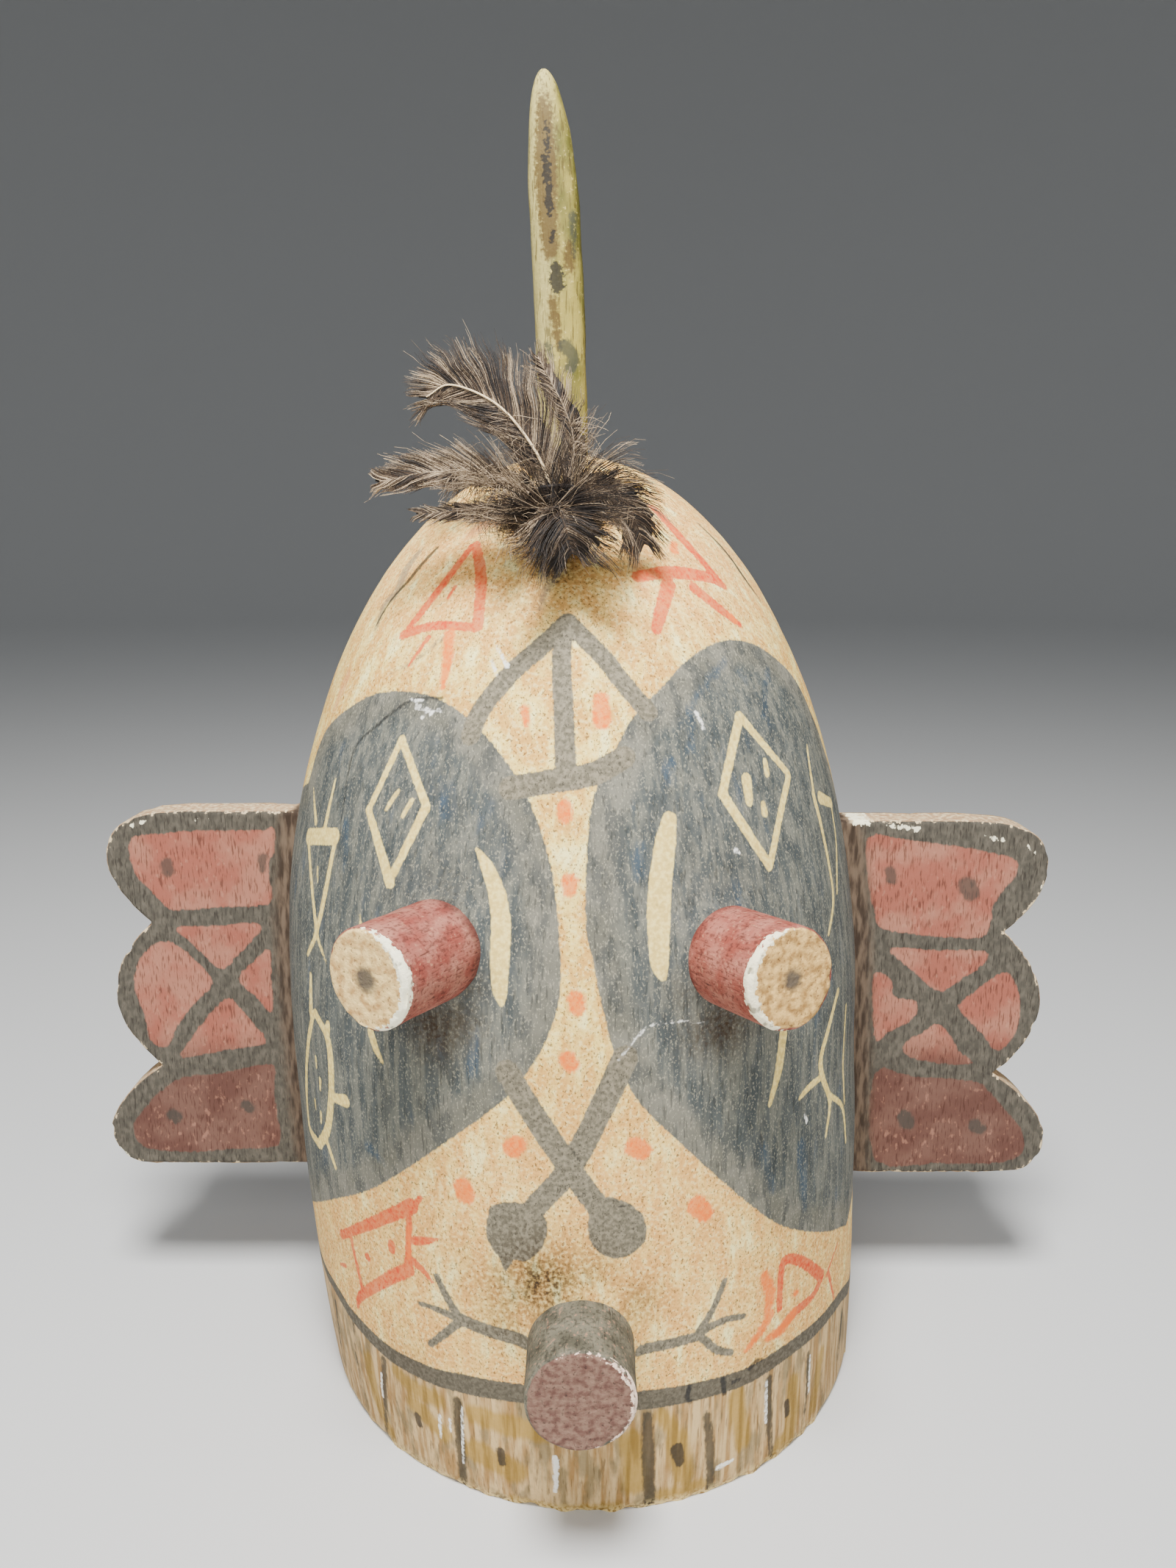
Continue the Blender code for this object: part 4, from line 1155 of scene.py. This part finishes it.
def pegPaint(node):
    look, length = pegLooks[node], pegPlaces[node]["length"] / mm
    material, tree, shader = startMaterial(node.replace("_", "") + "Paint", 0.8, 0.25)
    own = addNode(tree, "ShaderNodeAttribute", attribute_name="ownPlace").outputs["Vector"]
    parts = addNode(tree, "ShaderNodeSeparateXYZ", {"Vector": own}).outputs
    def ownNoise(size, detail, long=1.0, shift=0.0):
        mapped = addNode(tree, "ShaderNodeMapping", {
            "Vector": own, "Scale": (1 / size, 1 / size, 1 / (size * long)),
            "Location": (shift, shift + look["seed"], shift)})
        return addNode(tree, "ShaderNodeTexNoise", {"Vector": mapped.outputs["Vector"],
                                                    "Scale": 1.0, "Detail": detail}).outputs["Fac"]
    grain, fleck = ownNoise(0.9, 4.0, 8.0, 1.0), ownNoise(1.3, 5.0, 1.0, 4.0)
    cloud = ownNoise(9.0, 3.0, 1.0, 7.0)
    flatX = combine(tree, "MULTIPLY", parts["X"], parts["X"])
    flatY = combine(tree, "MULTIPLY", parts["Y"], parts["Y"])
    radius = combine(tree, "SQRT", combine(tree, "ADD", flatX, flatY), 0.0)
    low, high = (paint(*tone) for tone in look["side"])
    side = mixColour(tree, ramp(tree, cloud, 0.30, 0.70), low, high)
    side = mixColour(tree, ramp(tree, grain, 0.44, 0.28, 0.0, 0.7), side, paint(*look["dusk"]))
    side = mixColour(tree, ramp(tree, fleck, 0.47, 0.36, 0.0, 0.55), side, paint(*look["dusk"]))
    side = mixColour(tree, ramp(tree, fleck, 0.58, 0.70, 0.0, 0.45), side, paint(190, 142, 112))
    # darker towards the root, where the peg meets the face: painted shade and dirt
    rooted = combine(tree, "ADD", parts["Z"], combine(tree, "MULTIPLY", cloud, 8.0))
    side = mixColour(tree, ramp(tree, rooted, 8.0 - length, 0.0 - length, 0.0, 0.8), side,
                     paint(*look["dusk"]))
    endLow, endHigh = (paint(*tone) for tone in look["end"])
    mottle = ownNoise(look["mottle"], 5.0, 1.0, 12.0)
    end = mixColour(tree, ramp(tree, mottle, 0.28, 0.68), endLow, endHigh)
    end = mixColour(tree, ramp(tree, cloud, 0.46, 0.3, 0.0, 0.4), end, endLow)
    end = mixColour(tree, ramp(tree, fleck, 0.42, 0.32, 0.0, 0.6), end, paint(*look["dusk"]))
    if look["heart"]:
        ragged = combine(tree, "ADD", radius, combine(tree, "MULTIPLY", mottle, 3.0))
        end = mixColour(tree, ramp(tree, ragged, look["heart"] + 3.2, look["heart"] - 0.4, 0.0, 0.9),
                        end, paint(70, 66, 62))
    onEnd = ramp(tree, parts["Z"], -1.0, -0.5)
    colour = mixColour(tree, onEnd, side, end)
    # white ground chipped bare along the rim
    rim = combine(tree, "ADD", combine(tree, "SUBTRACT", pegPlaces[node]["radius"] / mm, radius),
                  combine(tree, "MULTIPLY", parts["Z"], -1.0))
    lean = combine(tree, "MULTIPLY", parts["X"], look["chipSide"] * 0.055)
    jagged = combine(tree, "ADD", combine(tree, "MULTIPLY", ownNoise(2.0, 4.0, 0.5, 17.0), 5.0),
                     combine(tree, "MULTIPLY", lean, 2.4))
    chipped = combine(tree, "SUBTRACT", rim, combine(tree, "SUBTRACT", jagged, 1.4))
    rimTone = mixColour(tree, ramp(tree, mottle, 0.56, 0.66, 0.0, 0.7), paint(*look["rim"]),
                        paint(112, 104, 86))
    colour = mixColour(tree, ramp(tree, chipped, 0.25, -0.15), colour, rimTone)
    tree.links.new(colour, shader.inputs["Base Color"])
    addBump(tree, shader, combine(tree, "ADD", grain, fleck), 0.65, 0.35 * mm)
    return material


def makePeg(name, node):
    given, look, form = pegPlaces[node], pegLooks[node], pegForm
    base, ahead = pegAxis(given)
    radius, length = given["radius"] - form["play"], given["length"]
    bm = bmesh.new()
    shares = gridShares(bm, form["columns"], form["rows"])
    turn, run = shares[:, 0] * 2 * math.pi, shares[:, 1]
    # profile along the side, round the rim and in to the middle of the end
    stops = [0.0, 0.50, 0.58, 1.0]
    along = np.interp(run, stops, [-form["sunk"], length - form["rimAlong"], length, length])
    wide = np.interp(run, stops, [radius, radius, radius - form["rimAcross"], 0.0])
    own = np.stack([wide * np.cos(turn), wide * np.sin(turn), along], axis=1)
    rim = np.exp(-((along - length) ** 2 + (wide - radius) ** 2) / (2.2 * mm) ** 2)
    chip = np.clip(noiseField(own + look["seed"], 4.5 * mm, 9), 0, 1) * rim * form["chipDepth"]
    hewn = noiseField(own, 12 * mm, 10 + look["seed"]) * form["hewn"]
    rough = noiseField(own, 2.2 * mm, 14) * np.where(run > 0.56, 0.3 * mm, 0.06 * mm)
    shrink = 1 - (chip * 0.6 + np.abs(hewn)) / radius
    own[:, :2] *= shrink[:, None]
    own[:, 2] -= np.where(run > 0.5, chip + np.abs(rough), 0.0)
    sideways = np.cross(ahead, [0.0, 0.0, 1.0])
    sideways /= np.linalg.norm(sideways)
    upward = np.cross(sideways, ahead)
    movePoints(bm, base + own[:, :1] * sideways + own[:, 1:2] * upward + own[:, 2:] * ahead)
    bmesh.ops.remove_doubles(bm, verts=bm.verts[:], dist=0.01 * mm)
    bmesh.ops.holes_fill(bm, edges=[e for e in bm.edges if e.is_boundary], sides=0)
    piece = finishPiece(name, bm, [pegPaint(node)])
    apart = meshPoints(piece.data) - base
    ownPlace = np.stack([apart @ sideways, apart @ upward, apart @ ahead - length], axis=1) / mm
    attribute = piece.data.attributes.new("ownPlace", "FLOAT_VECTOR", "POINT")
    attribute.data.foreach_set("vector", ownPlace.astype(np.float32).ravel())
    return piece


# Horn

hornForm = {
    "length": 0.1445, "halfWidth": 0.0102, "halfDepth": 0.0084, "seat": 0.012,
    "offset": -0.0020, "setBack": 0.003, "lean": -0.0068, "taperStart": 0.090, "square": 2.7,
    "columns": 56, "rows": 190, "straightShare": 0.6,
}
hornSpots = {
    "grey": [([(768, 470), (782, 486), (776, 500)], (2.6, 2.4)), ([(778, 204), (781, 240)], (2.4, 2.0)),
             ([(783, 292), (785, 344)], (2.6, 2.2)), ([(730, 118), (738, 122)], (1.3, 1.2)),
             ([(745, 470), (752, 500)], (1.8, 1.2)), ([(790, 430), (791, 450)], (1.2, 1.0))],
    "black": [([(756, 366), (758, 388)], (2.6, 2.8)), ([(752, 316), (750, 326)], (1.0, 0.8)),
              ([(738, 120), (740, 150)], (1.2, 1.6)), ([(742, 164), (744, 200)], (1.8, 1.5)),
              ([(741, 212), (745, 244)], (1.6, 1.9)), ([(746, 254), (748, 290)], (1.8, 1.2))],
    "tan": [([(775, 335), (776, 362)], (2.2, 2.4)), ([(738, 112), (742, 240), (748, 340)],
                                                     (4.0, 4.6, 3.0)),
            ([(752, 410), (760, 470)], (2.0, 1.6))],
}


def makeHorn(name):
    form = hornForm
    bm = bmesh.new()
    shares = gridShares(bm, form["columns"], form["rows"])
    turn, run = shares[:, 0] * 2 * math.pi, shares[:, 1] / form["straightShare"]
    tipRun = form["length"] - form["taperStart"]
    bent = np.clip((run - 1) / (1 / form["straightShare"] - 1), 0.0, 1.0) * math.pi / 2
    rise = np.where(run < 1, -form["seat"] + (form["taperStart"] + form["seat"]) * run,
                    form["taperStart"] + tipRun * np.sin(bent))
    size = np.cos(bent)
    share = np.clip(rise, 0.0, None) / form["length"]
    square = (np.abs(np.cos(turn)) ** form["square"]
              + np.abs(np.sin(turn)) ** form["square"]) ** (-1 / form["square"])
    middle = shellForm["leanTop"] + form["offset"] + form["lean"] * share ** 2
    out = np.stack([np.cos(turn) * form["halfWidth"], np.sin(turn) * form["halfDepth"]], axis=1)
    out *= (square * size)[:, None]
    points = np.stack([middle + out[:, 0], axisY + form["setBack"] + out[:, 1],
                       shellForm["height"] + rise], axis=1)
    knife = np.abs(noiseField(points * [1, 1, 0.35], 7 * mm, 21)) * 0.8 * mm
    knife += np.abs(noiseField(points, 2.5 * mm, 22)) * 0.15 * mm
    points[:, :2] -= out * (knife / form["halfWidth"])[:, None]
    movePoints(bm, points)
    bmesh.ops.remove_doubles(bm, verts=bm.verts[:], dist=0.01 * mm)
    bmesh.ops.holes_fill(bm, edges=[e for e in bm.edges if e.is_boundary], sides=0)
    piece = finishPiece(name, bm, [hornPaint()])
    points = meshPoints(piece.data)
    front = axisY + form["setBack"] - form["halfDepth"]
    setAttributes(piece.data, {tone + "Spots": planeLayer(points, strokes, front) / mm
                               for tone, strokes in hornSpots.items()})
    return piece


def hornPaint():
    material, tree, shader = startMaterial("hornPaint", 0.7, 0.3)
    grain = objectNoise(tree, 0.8 * mm, 4.0, (1, 1, 10), 3.0)
    fleck = objectNoise(tree, 1.3 * mm, 5.0, shift=5.0)
    cloud = objectNoise(tree, 11 * mm, 3.0, (1, 1, 2.5), 2.0)
    green = mixColour(tree, ramp(tree, cloud, 0.36, 0.62), paint(96, 92, 34),
                      paint(160, 146, 70))
    # lighter towards the horn's left edge: a painted highlight
    colour = mixColour(tree, ramp(tree, readPlace(tree, "X"), -0.006, -0.014, 0.0, 0.8), green,
                       paint(184, 171, 107))
    colour = mixColour(tree, ramp(tree, grain, 0.47, 0.34, 0.0, 0.7), colour, paint(76, 62, 22))
    colour = mixColour(tree, ramp(tree, fleck, 0.60, 0.74, 0.0, 0.5), colour,
                       paint(214, 196, 124))
    tan = layerMask(tree, "tanSpots", fleck, 1.2, 6.0, cover=0.9)
    colour = mixColour(tree, tan, colour, paint(86, 66, 28))
    grey = layerMask(tree, "greySpots", fleck, 0.8, 3.0, cover=0.85)
    colour = mixColour(tree, grey, colour, paint(60, 62, 48))
    black = layerMask(tree, "blackSpots", fleck, 0.5, 5.0, cover=0.9)
    colour = mixColour(tree, black, colour, paint(28, 25, 20))
    tree.links.new(colour, shader.inputs["Base Color"])
    addBump(tree, shader, combine(tree, "ADD", grain, fleck), 0.6, 0.3 * mm)
    return material


# Feathers: paths start at the drilled hole and are offsets from its mouth in metres

plumes = {
    "back_left_feather": {
        "path": [(-0.002, -0.004, 0.018), (-0.008, -0.004, 0.032), (-0.020, -0.001, 0.046),
                 (-0.036, 0.002, 0.053), (-0.045, 0.002, 0.049)],
        "bare": 0.22, "half": 0.0155, "slant": 1.3, "face": (0.0, -1.0, 0.0), "peak": 0.7,
        "barbs": 1100, "down": 120, "droop": 0.05, "tone": 0.27, "quill": 1.2, "loose": 0.22,
        "curl": 0.8, "shaft": 0.85, "raised": 1.1},
    "back_feather": {
        "path": [(0.005, 0.003, 0.018), (0.005, 0.011, 0.040), (-0.007, 0.016, 0.065)],
        "bare": 0.12, "half": 0.0095, "slant": 1.3, "face": (0.3, -1.0, 0.0), "peak": 0.8,
        "barbs": 360, "down": 200, "droop": 0.10, "tone": 0.34, "quill": 0.6, "loose": 0.5,
        "curl": 1.2},
    "left_feather": {
        "path": [(-0.009, -0.010, 0.015), (-0.022, -0.012, 0.021), (-0.042, -0.009, 0.023),
                 (-0.061, -0.005, 0.020)],
        "bare": 0.10, "half": 0.0086, "slant": 2.0, "face": (0.0, -1.0, 0.3), "peak": 0.8,
        "barbs": 900, "down": 700, "droop": 0.05, "tone": 0.38, "quill": 0.6, "loose": 0.16,
        "curl": 0.8},
    "low_left_feather": {
        "path": [(-0.010, -0.014, 0.009), (-0.026, -0.016, 0.010), (-0.047, -0.011, 0.009)],
        "bare": 0.14, "half": 0.0054, "slant": 2.0, "face": (0.0, -1.0, 0.3), "peak": 0.8,
        "barbs": 480, "down": 520, "droop": 0.12, "tone": 0.36, "quill": 0.5, "loose": 0.2,
        "curl": 0.8},
    "right_feather": {
        "path": [(0.005, -0.012, 0.014), (0.014, -0.016, 0.018), (0.024, -0.013, 0.013),
                 (0.031, -0.008, -0.001)],
        "bare": 0.08, "half": 0.0165, "slant": 0.9, "face": (0.0, -1.0, 0.2), "peak": 0.8,
        "barbs": 900, "down": 520, "droop": 0.70, "tone": 0.17, "quill": 0.3, "loose": 0.3,
        "curl": 1.0},
    "front_feather": {
        "path": [(0.000, -0.018, 0.009), (0.002, -0.027, 0.009), (0.004, -0.031, 0.004),
                 (0.006, -0.030, -0.004)],
        "bare": 0.08, "half": 0.0250, "slant": 0.7, "face": (0.0, -1.0, 0.4), "peak": 0.7,
        "barbs": 1000, "down": 900, "droop": 0.36, "tone": 0.13, "quill": 0.2, "loose": 0.4,
        "curl": 1.3},
}
tuft = {"mouthBelowTop": 0.034, "mouthAside": -0.003, "webShare": 0.58}
strandPoints = 7


def featherMouth():
    return onForm(0.0, shellForm["height"] - tuft["mouthBelowTop"]) + [tuft["mouthAside"], 0, 0]


def unit(vectors):
    size = np.linalg.norm(vectors, axis=-1, keepdims=True)
    return vectors / np.maximum(size, 1e-9)


def addStrand(curve, points, thick, thin):
    spline = curve.splines.new("POLY")
    spline.points.add(len(points) - 1)
    for k, point in enumerate(points):
        spline.points[k].co = (*point, 1.0)
        spline.points[k].radius = thick + (thin - thick) * k / (len(points) - 1)


def curled(points, amount):
    # bends strands that lie together the same way, more towards their tips
    last = len(points) - 1
    bent = []
    for k, point in enumerate(points):
        wide = noise.noise_vector(Vector(point) / (9 * mm))
        fine = noise.noise_vector(Vector(point) / (3 * mm))
        bent.append(point + (np.array(wide) * 2.6 + np.array(fine) * 0.8) * mm * amount * k / last)
    return bent


def webbedVane(bm, given, along, aheadAt, half):
    # the thin web under the loose barbs, cut ragged along its rim
    shares = gridShares(bm, 30, 60)
    reach = shares[:, 0] * 2 - 1
    share = given["bare"] + (1 - given["bare"]) * shares[:, 1]
    base, ahead = along(share), aheadAt(share)
    sideways = unit(np.cross(ahead, unit(np.array(given["face"]))))
    upward = np.cross(sideways, ahead)
    field = np.stack([share * 0.9, np.sign(reach) * 3.0, reach * 0.25], axis=1)
    ragged = 0.72 + 0.5 * noiseField(field, 0.045, 31)
    width = (np.abs(reach) * swellAt(shares[:, 1], given["peak"]) * ragged * half)[:, None]
    points = base + sideways * np.sign(reach)[:, None] * width + ahead * width * given["slant"]
    points += upward * (0.35 * mm * noiseField(points, 3 * mm, 33) - 0.3 * mm)[:, None]
    points[:, 2] -= (width[:, 0] ** 2 / half) * given["droop"]
    movePoints(bm, points)
    bmesh.ops.solidify(bm, geom=bm.faces[:], thickness=0.3 * mm)
    bmesh.ops.recalc_face_normals(bm, faces=bm.faces[:])


def swellAt(run, peak):
    return 0.22 + 0.78 * np.sin(math.pi * np.clip(run * 0.93 + 0.05, 0, 1) ** peak) ** 0.7


def makePlume(name, node, material):
    given = plumes[node]
    mouth = featherMouth()
    start = mouth + np.array([0.0, 0.0, -0.002])
    path = curveThrough([start] + [mouth + np.array(p) for p in given["path"]], 10)
    lengths = np.concatenate([[0.0], np.cumsum(np.linalg.norm(np.diff(path, axis=0), axis=1))])
    lengths /= lengths[-1]

    def along(share):
        return np.stack([np.interp(share, lengths, path[:, axis]) for axis in range(3)], axis=-1)

    def aheadAt(share):
        return unit(along(np.minimum(1.0, share + 0.04)) - along(np.maximum(0.0, share - 0.04)))

    web = bmesh.new()
    webbedVane(web, given, along, aheadAt, given["half"] * tuft["webShare"])
    webCorners = len(web.verts)
    curve = bpy.data.curves.new(name, "CURVE")
    curve.dimensions = "3D"
    curve.bevel_depth = 1.0 * mm
    curve.bevel_resolution = 0
    shaft = given.get("shaft", 0.7)
    raised = path + unit(np.array(given["face"])) * given.get("raised", 0.5) * mm
    addStrand(curve, raised, shaft, 0.2)
    tones, shares = [given["quill"]] * len(path), [0.0] * len(path)
    face = unit(np.array(given["face"]))
    for k in range(given["barbs"]):
        side = 1 if k % 2 else -1
        run = (k + dice.random()) / given["barbs"]
        share = given["bare"] + (0.99 - given["bare"]) * run
        base, ahead = along(share), aheadAt(share)
        field = Vector((run * 9, side * 4.0, given["barbs"] * 0.1))
        clump = (noise.noise(field) * 1.6, noise.noise(field * 2.3 + Vector((9, 0, 0))) * 1.6,
                 noise.noise(field * 3.1) + 0.5)
        sideways = unit(np.cross(ahead, face)) * side
        upward = np.cross(sideways, ahead) * side
        slant = given["slant"] * (1 + 0.22 * clump[0]) + dice.uniform(-0.12, 0.12)
        long = given["half"] * math.hypot(1, given["slant"]) * float(swellAt(run, given["peak"]))
        long *= dice.uniform(0.75, 1.05) * (1.05 + 0.22 * clump[1])
        stray = dice.random() < 0.04
        if stray:
            long *= dice.uniform(1.1, 1.4)
        lift = dice.uniform(-0.08, 0.16) + given["loose"] * 0.35 * clump[1]
        heading = unit(sideways + ahead * slant + upward * lift)
        wave, phase = dice.uniform(-1, 1) * given["loose"], dice.uniform(0, 6)
        points = [base + upward * dice.uniform(0.1, 0.6) * mm]
        for step in range(1, strandPoints):
            t = step / (strandPoints - 1)
            turned = heading + ahead * 0.35 * t + np.array([0, 0, -given["droop"] * t * 1.3])
            turned = turned + upward * wave * 0.5 * math.sin(phase + 4 * t)
            points.append(points[-1] + unit(turned) * long / (strandPoints - 1))
        points = curled(points, given["curl"])
        addStrand(curve, points, 0.10 if stray else dice.uniform(0.12, 0.21), 0.04)
        tone = given["tone"] + 0.50 * (clump[2] - 0.5) + dice.gauss(0, 0.22) + 0.30 * stray
        tones += [tone] * strandPoints
        shares += [step / (strandPoints - 1) for step in range(strandPoints)]
    for k in range(given["down"]):
        share = dice.uniform(0.10, 0.62)
        base = along(share)
        heading = np.array([dice.gauss(0, 0.9), dice.gauss(-0.5, 0.5), dice.gauss(-0.1, 0.6)])
        heading = unit(heading + aheadAt(share) * 0.9)
        long = dice.uniform(0.007, 0.016)
        bend = np.array([dice.gauss(0, 0.7), dice.gauss(0, 0.4), dice.gauss(-0.5, 0.5)])
        points = [base]
        for step in range(1, strandPoints):
            t = step / (strandPoints - 1)
            points.append(points[-1] + unit(heading + bend * t * 2.0) * long / (strandPoints - 1))
        addStrand(curve, curled(points, given["curl"]), 0.13, 0.04)
        tones += [given["tone"] + 0.1 + dice.gauss(0, 0.2)] * strandPoints
        shares += [step / (strandPoints - 1) for step in range(strandPoints)]
    curveObject = bpy.data.objects.new(name + "Curve", curve)
    bpy.context.collection.objects.link(curveObject)
    graph = bpy.context.evaluated_depsgraph_get()
    strands = bpy.data.meshes.new_from_object(curveObject.evaluated_get(graph))
    ring = len(strands.vertices) // len(tones)
    web.from_mesh(strands)
    bpy.data.objects.remove(curveObject)
    bpy.data.curves.remove(curve)
    bpy.data.meshes.remove(strands)
    mesh = bpy.data.meshes.new(name)
    web.to_mesh(mesh)
    web.free()
    mesh.materials.append(material)
    mesh.shade_smooth()
    setAttributes(mesh, {"tone": [given["tone"] - 0.28] * webCorners + list(np.repeat(tones, ring)),
                         "tip": [0.3] * webCorners + list(np.repeat(shares, ring))})
    piece = bpy.data.objects.new(name, mesh)
    bpy.context.collection.objects.link(piece)
    print(name + ":", len(mesh.polygons), "faces,", ring, "sides to a strand")
    return piece


def featherTone():
    material, tree, shader = startMaterial("featherTone", 0.55, 0.35)
    strand = objectNoise(tree, 0.8 * mm, 4.0)
    cloud = objectNoise(tree, 9 * mm, 2.0, shift=4.0)
    tone = combine(tree, "ADD", readAttribute(tree, "tone"),
                   combine(tree, "MULTIPLY", combine(tree, "SUBTRACT", cloud, 0.5), 0.7))
    tone = combine(tree, "ADD", tone, combine(tree, "MULTIPLY", readAttribute(tree, "tip"), 0.12))
    tone = combine(tree, "ADD", tone,
                   combine(tree, "MULTIPLY", combine(tree, "SUBTRACT", strand, 0.5), 0.8))
    dark = mixColour(tree, ramp(tree, tone, 0.0, 0.38), paint(24, 15, 8), paint(76, 58, 40))
    colour = mixColour(tree, ramp(tree, tone, 0.38, 0.8), dark, paint(180, 158, 128))
    colour = mixColour(tree, ramp(tree, tone, 1.0, 1.2), colour, paint(232, 206, 160))
    tree.links.new(colour, shader.inputs["Base Color"])
    shader.inputs["Sheen Weight"].default_value = 0.1
    return material


def place(piece, node, slotName):
    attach(piece, "root")
    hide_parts(node)


stageForm = {"flat": 5.0, "bend": 4.0, "wall": 6.0, "tone": (0.62, 0.62, 0.61, 1.0)}


def makeStage():
    # a round floor whose far edge curves up, so that no horizon shows from any side
    form = stageForm
    bm = bmesh.new()
    last = bm.verts.new((0.0, 0.0, 0.0))
    profile = [last]
    turns = [math.radians(step * 10) for step in range(10)]
    places = [(form["flat"] + form["bend"] * math.sin(t), form["bend"] * (1 - math.cos(t)))
              for t in turns]
    for reach, height in places + [(form["flat"] + form["bend"], form["bend"] + form["wall"])]:
        last = bm.verts.new((reach, 0.0, height))
        bm.edges.new((profile[-1], last))
        profile.append(last)
    bmesh.ops.spin(bm, geom=bm.verts[:] + bm.edges[:], cent=(0, 0, 0), axis=(0, 0, 1),
                   angle=2 * math.pi, steps=72, use_merge=True)
    bmesh.ops.remove_doubles(bm, verts=bm.verts[:], dist=0.1 * mm)
    bmesh.ops.recalc_face_normals(bm, faces=bm.faces[:])
    bmesh.ops.reverse_faces(bm, faces=bm.faces[:])
    mesh = bpy.data.meshes.new("floor")
    bm.to_mesh(mesh)
    bm.free()
    mesh.shade_smooth()
    floor = bpy.data.objects.new("floor", mesh)
    bpy.context.collection.objects.link(floor)
    material, _, shader = startMaterial("paleFloor", 0.9, 0.2)
    shader.inputs["Base Color"].default_value = form["tone"]
    mesh.materials.append(material)


lights = {
    "overhead": {"place": (-0.05, -0.50, 1.30), "aim": (0, 0, 0.22), "size": 0.38, "power": 40},
    "front": {"place": (-0.35, -1.9, 1.05), "aim": (0, 0, 0.22), "size": 1.5, "power": 28},
    "fill": {"place": (1.3, -1.1, 0.7), "aim": (0, 0, 0.2), "size": 1.2, "power": 5},
}
sky = {"colour": (0.86, 0.90, 0.95, 1.0), "strength": 0.34}


def makeLights():
    for name, given in lights.items():
        lamp = bpy.data.lights.new(name, "AREA")
        lamp.size = given["size"]
        lamp.energy = given["power"]
        lampObject = bpy.data.objects.new(name, lamp)
        lampObject.location = given["place"]
        aim = Vector(given["aim"]) - Vector(given["place"])
        lampObject.rotation_euler = aim.to_track_quat("-Z", "Y").to_euler()
        bpy.context.collection.objects.link(lampObject)
    world = bpy.data.worlds.new("studio")
    world.use_nodes = True
    background = world.node_tree.nodes["Background"]
    background.inputs["Color"].default_value = sky["colour"]
    background.inputs["Strength"].default_value = sky["strength"]
    bpy.context.scene.world = world


def makeCamera():
    camera = bpy.data.cameras.new("camera")
    camera.lens = cameraPlace["lens"]
    camera.sensor_width = photoFrame["sensor"]
    cameraObject = bpy.data.objects.new("camera", camera)
    cameraObject.location = (cameraPlace["x"], axisY - cameraPlace["ahead"], cameraPlace["up"])
    cameraObject.rotation_euler = (math.radians(90 - cameraPlace["pitch"]), 0.0, 0.0)
    bpy.context.collection.objects.link(cameraObject)
    bpy.context.scene.camera = cameraObject


makeCamera()
makeStage()
makeLights()
print("camera, floor and lights set")
place(makeShell(), "mask_shell", "shell_wood")
place(makeEar("leftEarBoard", "left_ear"), "left_ear", "ear_wood")
place(makeEar("rightEarBoard", "right_ear"), "right_ear", "ear_wood")
place(makePeg("leftEyeDowel", "left_eye_peg"), "left_eye_peg", "eye_peg_wood")
place(makePeg("rightEyeDowel", "right_eye_peg"), "right_eye_peg", "eye_peg_wood")
place(makePeg("snoutDowel", "snout_peg"), "snout_peg", "snout_wood")
place(makeHorn("hornStick"), "horn", "horn_wood")
plumeMaterial = featherTone()
plumeNames = {"back_left_feather": "backLeftPlume", "back_feather": "backPlume",
              "left_feather": "leftPlume", "low_left_feather": "lowLeftPlume",
              "right_feather": "rightPlume", "front_feather": "frontPlume"}
for plumeNode, plumeName in plumeNames.items():
    place(makePlume(plumeName, plumeNode, plumeMaterial), plumeNode, "feather")
